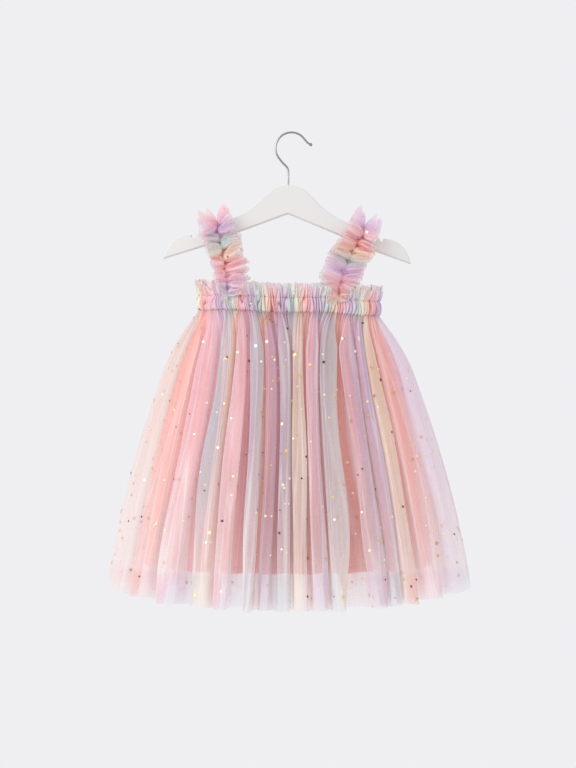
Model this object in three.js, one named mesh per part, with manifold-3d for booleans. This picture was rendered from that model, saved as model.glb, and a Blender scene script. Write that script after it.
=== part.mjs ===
// Toddler party dress hanging on a child's wooden hanger, in millimetres, +Z up.
// The origin is the inside top of the hook, where a rail or peg carries it.
// The front of the dress faces -Y, and +X is the right-hand side seen from the front.

import * as THREE from 'three';
import { mergeVertices } from 'three/addons/utils/BufferGeometryUtils.js';
import Module from 'manifold-3d';

// Gap kept wherever two pieces meet
const SEAM_GAP = 0.4;

// Hanger board: flat, with its right arm a little lower
const BOARD = {
  topX: -3.5,
  topZ: -63.6,
  thickness: 12,
  roundedEdge: 1,
  tilt: THREE.MathUtils.degToRad(1.2),
};

// Upper edge of one arm from the crown to the notch, measured from the crown
const CROWN_EDGE = [
  { out: 0, drop: 0 },
  { out: 10, drop: 0.8 },
  { out: 18, drop: 4 },
  { out: 27, drop: 11.4 },
  { out: 43, drop: 27 },
  { out: 58.8, drop: 37.2 },
  { out: 74, drop: 44.2 },
  { out: 110, drop: 60.5 },
];
const NOTCH = { out: 113.2, drop: 62.4, radius: 2.6 };

// Rounded end of one arm, from the notch to the tip
const TIP_EDGE = [
  { out: 117, drop: 61.4 },
  { out: 128.6, drop: 63.9 },
  { out: 139.8, drop: 71.9 },
  { out: 145.9, drop: 82.6 },
  { out: 148.6, drop: 90.4 },
];
const LOWER_EDGE = [
  { out: 98, drop: 73.6 },
  { out: 62, drop: 57.6 },
  { out: 0, drop: 33.3 },
];

// Wire hook: most of a circle, open to the right, then a slanted neck and a shank
const HOOK = { wireRadius: 1.2, bendRadius: 19.2, ballRadius: 2.1, sides: 8 };
const HOOK_ARC = { from: 32, to: 220, steps: 14 };
const HOOK_TAIL = [
  { x: 23.2, z: -13.6 },
  { x: 20.6, z: -12.2 },
];
const HOOK_NECK = [
  { x: -10.2, z: -35.9 },
  { x: -5.6, z: -40.6 },
  { x: -3.9, z: -45 },
  { x: -3.9, z: -54 },
];

// The dress hangs slightly left of the hook
const DRESS_X = -3;

// How far the band and waist sag below its left end, across the width from -1 to 1
const DROOP = [
  { across: -1, drop: 0 },
  { across: -0.6, drop: 0 },
  { across: -0.1, drop: 3.5 },
  { across: 0.4, drop: 3 },
  { across: 0.75, drop: 6.5 },
  { across: 1, drop: 7.5 },
];

// Gathered band: oval sections, as heights above its lower edge. gather is half the
// depth of a pleat, and backRise is how much higher the back of the frill stands.
const BAND = { bottomZ: -213, wall: 1.8, gathers: 30, backRise: 4 };
const BAND_SECTIONS = [
  { at: 'frill edge', up: 30, width: 114, depth: 18.5, gather: 1.7 },
  { at: 'frill', up: 24, width: 112.5, depth: 16.8, gather: 1.3 },
  { at: 'upper elastic', up: 17.5, width: 109, depth: 13.6, gather: 0.6 },
  { at: 'upper puff', up: 13, width: 111.5, depth: 16, gather: 1.2 },
  { at: 'lower puff', up: 5.5, width: 111.5, depth: 16, gather: 1.2 },
  { at: 'lower elastic', up: 0, width: 108.5, depth: 14, gather: 0.6 },
];

// Skirt of net: oval sections by their share of the way down. front and back are how
// far each side stands out, and fold is half the depth of its folds.
const SKIRT = { wall: 1.2, sideHemZ: -535.6, frontHemZ: -562, backHemZ: -557 };
const SKIRT_SECTIONS = [
  { down: 0, width: 109, front: 14.4, back: 14.4, fold: 0.4 },
  { down: 0.03, width: 116, front: 20.5, back: 19, fold: 1.8 },
  { down: 0.08, width: 127.5, front: 27, back: 24.5, fold: 3.6 },
  { down: 0.17, width: 144, front: 35, back: 31, fold: 5.6 },
  { down: 0.31, width: 161, front: 44.5, back: 38, fold: 7.4 },
  { down: 0.49, width: 180, front: 54, back: 45, fold: 8.8 },
  { down: 0.67, width: 196, front: 62, back: 51, fold: 9.8 },
  { down: 0.84, width: 208.5, front: 69, back: 56, fold: 10.6 },
  { down: 1, width: 218.5, front: 75, back: 60, fold: 11.4 },
];

// Share of the way down by which a fold has left its place under the band for most of
// its way to its place at the hem
const FOLD_SPREAD = 0.09;

// Front folds from left to right: where each crest starts under the band and where it
// reaches the hem, as a share of the half-width, and how strongly it stands out.
const FRONT_FOLDS = [
  { waist: -0.97, hem: -0.91, depth: 0.6 },
  { waist: -0.92, hem: -0.78, depth: 0.8 },
  { waist: -0.85, hem: -0.625, depth: 1 },
  { waist: -0.67, hem: -0.467, depth: 0.7 },
  { waist: -0.54, hem: -0.36, depth: 1 },
  { waist: -0.42, hem: -0.213, depth: 1 },
  { waist: -0.27, hem: -0.128, depth: 0.5 },
  { waist: -0.1, hem: -0.02, depth: 0.8 },
  { waist: 0.12, hem: 0.06, depth: 0.8 },
  { waist: 0.29, hem: 0.165, depth: 1 },
  { waist: 0.48, hem: 0.255, depth: 1 },
  { waist: 0.66, hem: 0.465, depth: 1.1 },
  { waist: 0.77, hem: 0.565, depth: 0.6 },
  { waist: 0.85, hem: 0.63, depth: 0.9 },
  { waist: 0.92, hem: 0.755, depth: 0.8 },
  { waist: 0.97, hem: 0.92, depth: 0.8 },
];

// Back folds, counted the same way with the dress turned round
const BACK_FOLDS = [
  { waist: -0.93, hem: -0.88, depth: 0.8 },
  { waist: -0.8, hem: -0.7, depth: 1 },
  { waist: -0.66, hem: -0.56, depth: 0.7 },
  { waist: -0.52, hem: -0.41, depth: 1 },
  { waist: -0.37, hem: -0.28, depth: 0.9 },
  { waist: -0.24, hem: -0.15, depth: 0.7 },
  { waist: -0.09, hem: -0.04, depth: 1 },
  { waist: 0.06, hem: 0.08, depth: 0.8 },
  { waist: 0.2, hem: 0.19, depth: 1 },
  { waist: 0.36, hem: 0.33, depth: 0.9 },
  { waist: 0.52, hem: 0.45, depth: 0.6 },
  { waist: 0.67, hem: 0.6, depth: 1 },
  { waist: 0.81, hem: 0.74, depth: 0.8 },
  { waist: 0.93, hem: 0.88, depth: 0.9 },
];

// Solid lining inside the net, with shallower folds and a shorter hem
const LINING = { wall: 1, folds: 8, sideHemZ: -517, frontHemZ: -523, backHemZ: -520 };
const LINING_SECTIONS = [
  { down: 0, width: 107.2, front: 12.5, back: 12.5, fold: 0 },
  { down: 0.04, width: 109.5, front: 14.5, back: 13.5, fold: 0.4 },
  { down: 0.13, width: 117, front: 20, back: 17, fold: 1.2 },
  { down: 0.32, width: 132, front: 29, back: 24, fold: 2.6 },
  { down: 0.65, width: 154, front: 42, back: 34, fold: 4.4 },
  { down: 1, width: 174, front: 52, back: 41, fold: 5.6 },
];

// Ruffle straps. ride is where a strap lies on the hanger, measured along the arm from
// the crown, and footX is where its two ends are sewn to the band.
const STRAP = { wall: 1.6, ruffles: 19, footZ: -206, clearance: 2, overBand: 2.6, overFrill: 5 };
const STRAPS = [
  { node: 'strap_left', ride: -84.5, footX: -77.5 },
  { node: 'strap_right', ride: 88.5, footX: 59 },
];

// One run of a strap, from its foot to its top: rise is the share of its height, away
// its distance from the mid plane, half its half-width and stand how far its edges
// stand off the line that it is gathered on.
const STRAP_RUN = [
  { rise: 0, away: 12, half: 15.6, stand: 3.3 },
  { rise: 0.17, away: 14, half: 18.5, stand: 7.5 },
  { rise: 0.36, away: 13.6, half: 19.3, stand: 11.6 },
  { rise: 0.6, away: 10.6, half: 19, stand: 12.9 },
  { rise: 0.82, away: 8.4, half: 17.7, stand: 13.9 },
  { rise: 0.925, away: 8, half: 16.3, stand: 14.7 },
  { rise: 0.965, away: 6.9, half: 14.9, stand: 15.5 },
  { rise: 0.99, away: 4.2, half: 14, stand: 15.8 },
  { rise: 1, away: 0, half: 13.5, stand: 16 },
];
const STRAP_ACROSS = [-1, -0.55, 0, 0.55, 1];

// How much taller the wing on the low side of the arm stands than the other one
const LOW_WING = 0.3;

// Small helpers
const lerp = THREE.MathUtils.lerp;

// Reads column name at the place key = value of a table sorted by that key
function readTable(table, key, value, name) {
  const rising = table[0][key] < table[table.length - 1][key];
  const rows = rising ? table : [...table].reverse();
  if (value <= rows[0][key]) return rows[0][name];
  for (let i = 1; i < rows.length; i += 1) {
    if (value <= rows[i][key]) {
      const share = (value - rows[i - 1][key]) / (rows[i][key] - rows[i - 1][key]);
      return lerp(rows[i - 1][name], rows[i][name], share);
    }
  }
  return rows[rows.length - 1][name];
}

function droopAt(x) {
  return readTable(DROOP, 'across', (x - DRESS_X) / BAND_SECTIONS[5].width, 'drop');
}

// A closed wall between an outer and an inner grid of points. Rows run down the
// cloth, and columns run to the right as seen from outside.
function wallSolid(outer, inner) {
  const rows = outer.length;
  const columns = outer[0].length;
  const corners = [...outer.flat(), ...inner.flat()];
  const index = [];
  const out = (row, column) => row * columns + column;
  const inn = (row, column) => rows * columns + out(row, column);
  const quad = (a, b, c, d) => index.push(a, b, c, a, c, d);
  for (let r = 0; r < rows - 1; r += 1) {
    for (let c = 0; c < columns - 1; c += 1) {
      quad(out(r, c), out(r + 1, c), out(r + 1, c + 1), out(r, c + 1));
      quad(inn(r, c), inn(r, c + 1), inn(r + 1, c + 1), inn(r + 1, c));
    }
  }
  const lastRow = rows - 1;
  const lastColumn = columns - 1;
  for (let c = 0; c < lastColumn; c += 1) {
    quad(out(0, c), out(0, c + 1), inn(0, c + 1), inn(0, c));
    quad(out(lastRow, c), inn(lastRow, c), inn(lastRow, c + 1), out(lastRow, c + 1));
  }
  for (let r = 0; r < lastRow; r += 1) {
    quad(out(r, 0), inn(r, 0), inn(r + 1, 0), out(r + 1, 0));
    quad(out(r, lastColumn), out(r + 1, lastColumn), inn(r + 1, lastColumn), inn(r, lastColumn));
  }
  const geometry = new THREE.BufferGeometry();
  const numbers = corners.flatMap((p) => [p.x, p.y, p.z]);
  geometry.setAttribute('position', new THREE.Float32BufferAttribute(numbers, 3));
  geometry.setIndex(index);
  geometry.computeVertexNormals();
  return geometry;
}

// Point of an oval section. across runs from -1 to 1 to the right as seen from
// outside the given side, and offset moves the point out of the oval.
function ovalPoint(side, across, width, depth, offset, z) {
  const angle = Math.acos(THREE.MathUtils.clamp(-across, -1, 1));
  const facing = side === 'front' ? 1 : -1;
  const x = -facing * (width + offset) * Math.cos(angle);
  const y = -facing * ((depth + offset) * Math.sin(angle) + SEAM_GAP / 2);
  return new THREE.Vector3(DRESS_X + x, y, z);
}

// A panel of cloth on oval sections. Each section gives its width, depth and fold for
// one row, columnsAt(down) lists the columns of a row as {across, wave}, and heightAt
// gives the height of a place.
function panelGeometry(side, sections, wall, columnsAt, heightAt) {
  const grid = (inset) => sections.map((section) => columnsAt(section).map((column) => {
    const offset = section.fold * column.wave - inset;
    const point = ovalPoint(side, column.across, section.width, section.depth, offset, 0);
    point.z = heightAt(section, column.across, point.x);
    return point;
  }));
  return wallSolid(grid(0), grid(wall));
}

// Hanger

function boardPoint(out, drop) {
  const cos = Math.cos(BOARD.tilt);
  const sin = Math.sin(BOARD.tilt);
  const x = BOARD.topX + out * cos - drop * sin;
  return new THREE.Vector3(x, 0, BOARD.topZ - out * sin - drop * cos);
}

function edgePoints(table, steps) {
  const curve = new THREE.SplineCurve(table.map((p) => new THREE.Vector2(p.out, -p.drop)));
  return curve.getPoints(steps);
}

function notchPoints() {
  const points = [];
  for (const degrees of [160, 205, 250, 290, 335, 380]) {
    const angle = THREE.MathUtils.degToRad(degrees);
    const out = NOTCH.out + NOTCH.radius * Math.cos(angle);
    points.push(new THREE.Vector2(out, -NOTCH.drop + NOTCH.radius * Math.sin(angle)));
  }
  return points;
}

function boardGeometry() {
  const lower = LOWER_EDGE.map((p) => new THREE.Vector2(p.out, -p.drop));
  const half = [...edgePoints(CROWN_EDGE, 22), ...notchPoints(), ...edgePoints(TIP_EDGE, 10), ...lower];
  const mirrored = half.slice(1, -1).reverse().map((p) => new THREE.Vector2(-p.x, p.y));
  const edge = BOARD.roundedEdge;
  const geometry = new THREE.ExtrudeGeometry(new THREE.Shape([...half, ...mirrored]), {
    depth: BOARD.thickness - 2 * edge,
    bevelEnabled: true,
    bevelThickness: edge,
    bevelSize: edge,
    bevelOffset: -edge,
    bevelSegments: 1,
  });
  geometry.rotateX(Math.PI / 2);
  geometry.translate(0, BOARD.thickness / 2 - edge, 0);
  return geometry;
}

function hookPath() {
  const centreZ = HOOK.wireRadius - HOOK.bendRadius;
  const points = HOOK_TAIL.map((p) => new THREE.Vector3(p.x, 0, p.z));
  for (let i = 0; i <= HOOK_ARC.steps; i += 1) {
    const degrees = lerp(HOOK_ARC.from, HOOK_ARC.to, i / HOOK_ARC.steps);
    const angle = THREE.MathUtils.degToRad(degrees);
    const z = centreZ + HOOK.bendRadius * Math.sin(angle);
    points.push(new THREE.Vector3(HOOK.bendRadius * Math.cos(angle), 0, z));
  }
  points.push(...HOOK_NECK.map((p) => new THREE.Vector3(p.x, 0, p.z)));
  const shank = HOOK_NECK[HOOK_NECK.length - 1];
  points.push(new THREE.Vector3(shank.x, 0, BOARD.topZ + SEAM_GAP));
  return new THREE.CatmullRomCurve3(points);
}

// Joins two closed geometries into one
function joined(wasm, first, second) {
  const [a, b] = [first, second].map((geometry) => {
    const plain = geometry.clone();
    plain.deleteAttribute('normal');
    plain.deleteAttribute('uv');
    const merged = mergeVertices(plain, 1e-4);
    return new wasm.Manifold(new wasm.Mesh({
      numProp: 3,
      vertProperties: new Float32Array(merged.attributes.position.array),
      triVerts: new Uint32Array(merged.index.array),
    }));
  });
  const mesh = a.add(b).getMesh();
  const geometry = new THREE.BufferGeometry();
  geometry.setAttribute('position', new THREE.BufferAttribute(mesh.vertProperties, 3));
  geometry.setIndex(new THREE.BufferAttribute(mesh.triVerts, 1));
  geometry.computeVertexNormals();
  return geometry;
}

function hookGeometry(wasm) {
  const section = new THREE.Shape();
  for (let i = 0; i < HOOK.sides; i += 1) {
    const angle = (2 * Math.PI * i) / HOOK.sides;
    const x = HOOK.wireRadius * Math.cos(angle);
    const y = HOOK.wireRadius * Math.sin(angle);
    if (i === 0) section.moveTo(x, y);
    else section.lineTo(x, y);
  }
  section.closePath();
  const wire = new THREE.ExtrudeGeometry(section, {
    steps: 42,
    bevelEnabled: false,
    extrudePath: hookPath(),
  });
  const ball = new THREE.SphereGeometry(HOOK.ballRadius, 10, 7);
  ball.translate(HOOK_TAIL[0].x, 0, HOOK_TAIL[0].z);
  return joined(wasm, wire, ball);
}

// Band

// Gathers: a narrow valley and a round crest each, uneven from one to the next
function gatherColumns() {
  const columns = [];
  for (let i = 0; i < BAND.gathers; i += 1) {
    const strength = 0.8 + 0.2 * Math.sin(i * 1.7);
    const shift = 0.12 * Math.sin(i * 2.4);
    const valleyAt = i === 0 ? 0 : i + shift;
    columns.push({ at: valleyAt, wave: i === 0 ? 0 : -strength });
    columns.push({ at: i + 0.34 + shift, wave: strength });
    columns.push({ at: i + 0.7 + shift, wave: strength });
  }
  columns.push({ at: BAND.gathers, wave: 0 });
  return columns.map(({ at, wave }) => ({ across: (2 * at) / BAND.gathers - 1, wave }));
}

function bandGeometry(side) {
  const columns = gatherColumns();
  const sections = BAND_SECTIONS.map(({ up, width, depth, gather }) => {
    return { up, width, depth, fold: gather };
  });
  const topUp = BAND_SECTIONS[0].up;
  const elasticUp = BAND_SECTIONS[2].up;
  const heightAt = ({ up }, across, x) => {
    const inFrill = Math.max(0, (up - elasticUp) / (topUp - elasticUp));
    const rise = side === 'back' ? BAND.backRise * inFrill : 0;
    return BAND.bottomZ + up + rise - droopAt(x);
  };
  return panelGeometry(side, sections, BAND.wall, () => columns, heightAt);
}

// How far the band's crests reach from the mid plane at a place
function bandReach(x, z, side) {
  const rise = side === 'back' ? BAND.backRise : 0;
  const up = z + droopAt(x) - BAND.bottomZ;
  if (up > BAND_SECTIONS[0].up + rise + STRAP.overFrill) return 0;
  const width = readTable(BAND_SECTIONS, 'up', up, 'width');
  const here = readTable(BAND_SECTIONS, 'up', up, 'depth');
  const lower = readTable(BAND_SECTIONS, 'up', up - rise, 'depth');
  const share = Math.min(1, Math.abs(x - DRESS_X) / (width + STRAP.overBand));
  return (Math.max(here, lower) + STRAP.overBand) * Math.sqrt(1 - share * share);
}

// Skirt and lining

// Columns of one row: every fold has a valley, a rise, a crest and a fall
function foldColumns(folds, down) {
  const ease = 1 - Math.exp(-down / FOLD_SPREAD);
  const angleOf = (across) => Math.acos(-across);
  const crests = folds.map(({ waist, hem, depth }) => {
    return { angle: angleOf(lerp(waist, hem, ease)), depth };
  });
  const columns = [{ angle: 0, wave: 0 }];
  crests.forEach(({ angle, depth }, i) => {
    const before = i === 0 ? -0.1 : crests[i - 1].angle;
    const after = i === crests.length - 1 ? Math.PI + 0.1 : crests[i + 1].angle;
    const valley = (before + angle) / 2;
    const nextValley = (angle + after) / 2;
    if (i > 0) columns.push({ angle: valley, wave: -0.5 * (depth + crests[i - 1].depth) });
    columns.push({ angle: lerp(angle, valley, 0.42), wave: 0.62 * depth });
    columns.push({ angle, wave: depth });
    columns.push({ angle: lerp(angle, nextValley, 0.42), wave: 0.62 * depth });
  });
  columns.push({ angle: Math.PI, wave: 0 });
  return columns.map(({ angle, wave }) => ({ across: -Math.cos(angle), wave }));
}

function evenFolds(count) {
  const folds = [];
  for (let i = 0; i < count; i += 1) {
    const place = (2 * (i + 0.5 + 0.15 * Math.sin(i * 2.1))) / count - 1;
    folds.push({ waist: place * 0.97, hem: place * 0.96, depth: 0.85 + 0.15 * Math.cos(i * 1.3) });
  }
  return folds;
}

// Hem height follows the cloth: the middle hangs lower than the sides
function skirtHeight(side, shape) {
  const hemZ = side === 'front' ? shape.frontHemZ : shape.backHemZ;
  return ({ down }, across, x) => {
    const topZ = BAND.bottomZ - SEAM_GAP - droopAt(x);
    const bottomZ = lerp(shape.sideHemZ, hemZ, Math.sqrt(Math.max(0, 1 - across * across)));
    return lerp(topZ, bottomZ, down);
  };
}

function skirtGeometry(side, shape, table, folds) {
  const sections = table.map((row) => ({ ...row, depth: row[side] }));
  const columnsAt = ({ down }) => foldColumns(folds, down);
  return panelGeometry(side, sections, shape.wall, columnsAt, skirtHeight(side, shape));
}

// Straps

// Stations of a whole strap, from its back foot over the hanger to its front foot
function strapStations({ ride, footX }) {
  const shoulder = readTable(CROWN_EDGE, 'out', Math.abs(ride), 'drop');
  const top = boardPoint(ride, shoulder - STRAP.clearance);
  const station = (row, facing) => {
    const x = lerp(footX, top.x, Math.min(1, row.rise / 0.92));
    const z = lerp(STRAP.footZ, top.z, row.rise);
    return { ...row, point: new THREE.Vector3(x, facing * row.away, z) };
  };
  const back = STRAP_RUN.map((row) => station(row, 1));
  const front = STRAP_RUN.slice(0, -1).reverse().map((row) => station(row, -1));
  return [...back, ...front];
}

// Direction across a strap: along the arm where it rides, level at its feet
function strapAcross(ride, rise) {
  const arm = boardPoint(Math.sign(ride) * 110, 60.5).sub(boardPoint(Math.sign(ride) * 58.8, 37.2));
  const slope = arm.z / arm.x;
  return new THREE.Vector3(1, 0, slope * Math.min(1, rise / 0.9)).normalize();
}

// Height of a ruffle at one step along a strap: a narrow valley and a round crest
function ruffleWave(step) {
  const ruffle = Math.floor(step / 3);
  const strength = 0.8 + 0.2 * Math.sin(ruffle * 2.3);
  return [-strength, strength, 0.8 * strength][((step % 3) + 3) % 3];
}

function strapGeometry(strap) {
  const stations = strapStations(strap);
  const curve = new THREE.CatmullRomCurve3(stations.map((s) => s.point));
  const steps = STRAP.ruffles * 3;
  const inner = [];
  const outer = [];
  for (let i = 0; i <= steps; i += 1) {
    const t = curve.getUtoTmapping(i / steps);
    const centre = curve.getPoint(t);
    const along = curve.getTangent(t);
    const place = t * (stations.length - 1);
    const before = stations[Math.floor(place)];
    const after = stations[Math.min(stations.length - 1, Math.floor(place) + 1)];
    const mix = (name) => lerp(before[name], after[name], place % 1);
    const across = strapAcross(strap.ride, mix('rise'));
    const away = along.clone().cross(across).normalize();
    const innerRow = STRAP_ACROSS.map((v) => {
      const wave = ruffleWave(i + (v < 0 ? 0 : 1));
      const reach = mix('half') * v * (1 + 0.1 * wave);
      const stand = mix('stand') * (1 + LOW_WING * v * Math.sign(strap.ride));
      const lift = stand * Math.abs(v) ** 1.3 * (0.75 + 0.4 * wave) + 0.5 * (1 + wave);
      const point = centre.clone().addScaledVector(across, reach).addScaledVector(away, lift);
      const side = i < steps / 2 ? 'back' : 'front';
      const facing = side === 'back' ? 1 : -1;
      const leastAway = bandReach(point.x, point.z, side);
      if (facing * point.y < leastAway) point.y = facing * leastAway;
      return point;
    });
    inner.push(innerRow);
    outer.push(innerRow.map((p) => p.clone().addScaledVector(away, STRAP.wall)));
  }
  return wallSolid(outer, inner);
}

// Assembly

const wasm = await Module();
wasm.setup();

const group = new THREE.Group();

function addPiece(name, geometry, color, roughness, metalness) {
  const material = new THREE.MeshStandardMaterial({ color, roughness, metalness });
  const mesh = new THREE.Mesh(geometry, material);
  mesh.name = name;
  group.add(mesh);
  return mesh;
}

const board = addPiece('hanger_board', boardGeometry(), '#ebebe6', 0.5, 0);
board.position.set(BOARD.topX, 0, BOARD.topZ);
board.rotation.y = BOARD.tilt;
addPiece('hanger_hook', hookGeometry(wasm), '#8a8a88', 0.3, 0.9);

addPiece('band_front', bandGeometry('front'), '#e9b4c4', 0.85, 0);
addPiece('band_back', bandGeometry('back'), '#e3b3cb', 0.85, 0);

const liningFolds = evenFolds(LINING.folds);
addPiece('lining_front', skirtGeometry('front', LINING, LINING_SECTIONS, liningFolds), '#efa09a', 0.8, 0);
addPiece('lining_back', skirtGeometry('back', LINING, LINING_SECTIONS, liningFolds), '#e8968f', 0.8, 0);
addPiece('skirt_front', skirtGeometry('front', SKIRT, SKIRT_SECTIONS, FRONT_FOLDS), '#dfb3cf', 0.9, 0);
addPiece('skirt_back', skirtGeometry('back', SKIRT, SKIRT_SECTIONS, BACK_FOLDS), '#c9b4d6', 0.9, 0);

for (const strap of STRAPS) {
  addPiece(strap.node, strapGeometry(strap), '#efbccb', 0.9, 0);
}

export default group;
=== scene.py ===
"""Toddler party dress of striped net on a child's wooden hanger: the looks around its solids.

Sizes are in millimetres unless a name says otherwise, and meshes are written in metres. The origin is the
inside top of the hook, +Z is up, and the front of the dress faces -Y.
"""

import logging
import math
from dataclasses import dataclass, field
from enum import Enum
from typing import Iterable, Sequence

import bpy
import numpy as np
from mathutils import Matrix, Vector


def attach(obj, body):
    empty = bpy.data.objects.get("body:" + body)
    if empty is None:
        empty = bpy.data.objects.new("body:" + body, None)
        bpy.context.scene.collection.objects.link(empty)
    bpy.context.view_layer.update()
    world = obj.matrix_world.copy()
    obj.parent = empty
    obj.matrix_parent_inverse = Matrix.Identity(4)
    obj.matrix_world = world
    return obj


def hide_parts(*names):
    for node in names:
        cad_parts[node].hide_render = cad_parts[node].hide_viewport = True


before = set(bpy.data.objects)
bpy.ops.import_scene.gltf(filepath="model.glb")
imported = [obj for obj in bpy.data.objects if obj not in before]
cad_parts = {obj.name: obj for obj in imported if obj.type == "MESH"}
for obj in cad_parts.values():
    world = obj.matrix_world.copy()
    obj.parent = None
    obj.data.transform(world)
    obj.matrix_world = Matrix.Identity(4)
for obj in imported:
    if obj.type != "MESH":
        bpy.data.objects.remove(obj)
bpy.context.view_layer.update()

logging.basicConfig(level=logging.INFO, format="%(message)s")
LOG = logging.getLogger("dress")

MM = 0.001

# The dress hangs a little left of the hook
DRESS_X = -3.0
SEAM_GAP = 0.4
WAIST_Z = -213.0
WAIST_HALF_WIDTH = 108.5

# How many layers of sheer net a line of sight may pass
NET_LAYERS = 24

# How many pieces of foil lie on half a skirt, half a band and a strap
SKIRT_FOIL_COUNT = 520
BAND_FOIL_COUNT = 14
STRAP_FOIL_COUNT = 16
# How far a strap's foil is from the strap itself in its random seed
FOIL_SEED_STEP = 5

Colour = tuple[float, float, float]


class Side(Enum):
    """Half of the dress."""

    FRONT = "front"
    BACK = "back"

    @property
    def facing(self) -> float:
        """Returns 1 for the front half and -1 for the back half."""
        return 1.0 if self is Side.FRONT else -1.0


class Motif(Enum):
    """Shape of a foil piece."""

    DOT = "dot"
    STAR = "star"
    MOON = "moon"


# Shader building


class Signal:
    """A number inside a material, on which Python arithmetic adds Math nodes."""

    def __init__(self, board: "NodeBoard", socket: bpy.types.NodeSocket) -> None:
        """Wraps a socket.

        Args:
            board: the material's node board.
            socket: the output socket that carries the number.
        """
        self.board = board
        self.socket = socket

    def _math(
        self, operation: str, first: "Operand", second: "Operand" = 0.0, clamp: bool = False
    ) -> "Signal":
        """Adds one Math node.

        Args:
            operation: Blender's name of the operation.
            first: a Signal or a number.
            second: a Signal or a number.
            clamp: whether the result is kept between 0 and 1.

        Returns:
            The result as a Signal.
        """
        settings = {"operation": operation, "use_clamp": clamp}
        node = self.board.node("ShaderNodeMath", settings, {0: first, 1: second})
        return Signal(self.board, node.outputs[0])

    def __add__(self, other: "Operand") -> "Signal":
        """Returns self + other."""
        return self._math("ADD", self, other)

    __radd__ = __add__

    def __sub__(self, other: "Operand") -> "Signal":
        """Returns self - other."""
        return self._math("SUBTRACT", self, other)

    def __rsub__(self, other: "Operand") -> "Signal":
        """Returns other - self."""
        return self._math("SUBTRACT", other, self)

    def __mul__(self, other: "Operand") -> "Signal":
        """Returns self * other."""
        return self._math("MULTIPLY", self, other)

    __rmul__ = __mul__

    def fraction(self) -> "Signal":
        """Returns the part of self after the decimal point."""
        return self._math("FRACT", self)

    def size(self) -> "Signal":
        """Returns self without its sign."""
        return self._math("ABSOLUTE", self)

    def clamped(self) -> "Signal":
        """Returns self kept between 0 and 1."""
        return self._math("ADD", self, 0.0, clamp=True)


Operand = Signal | float


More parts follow.
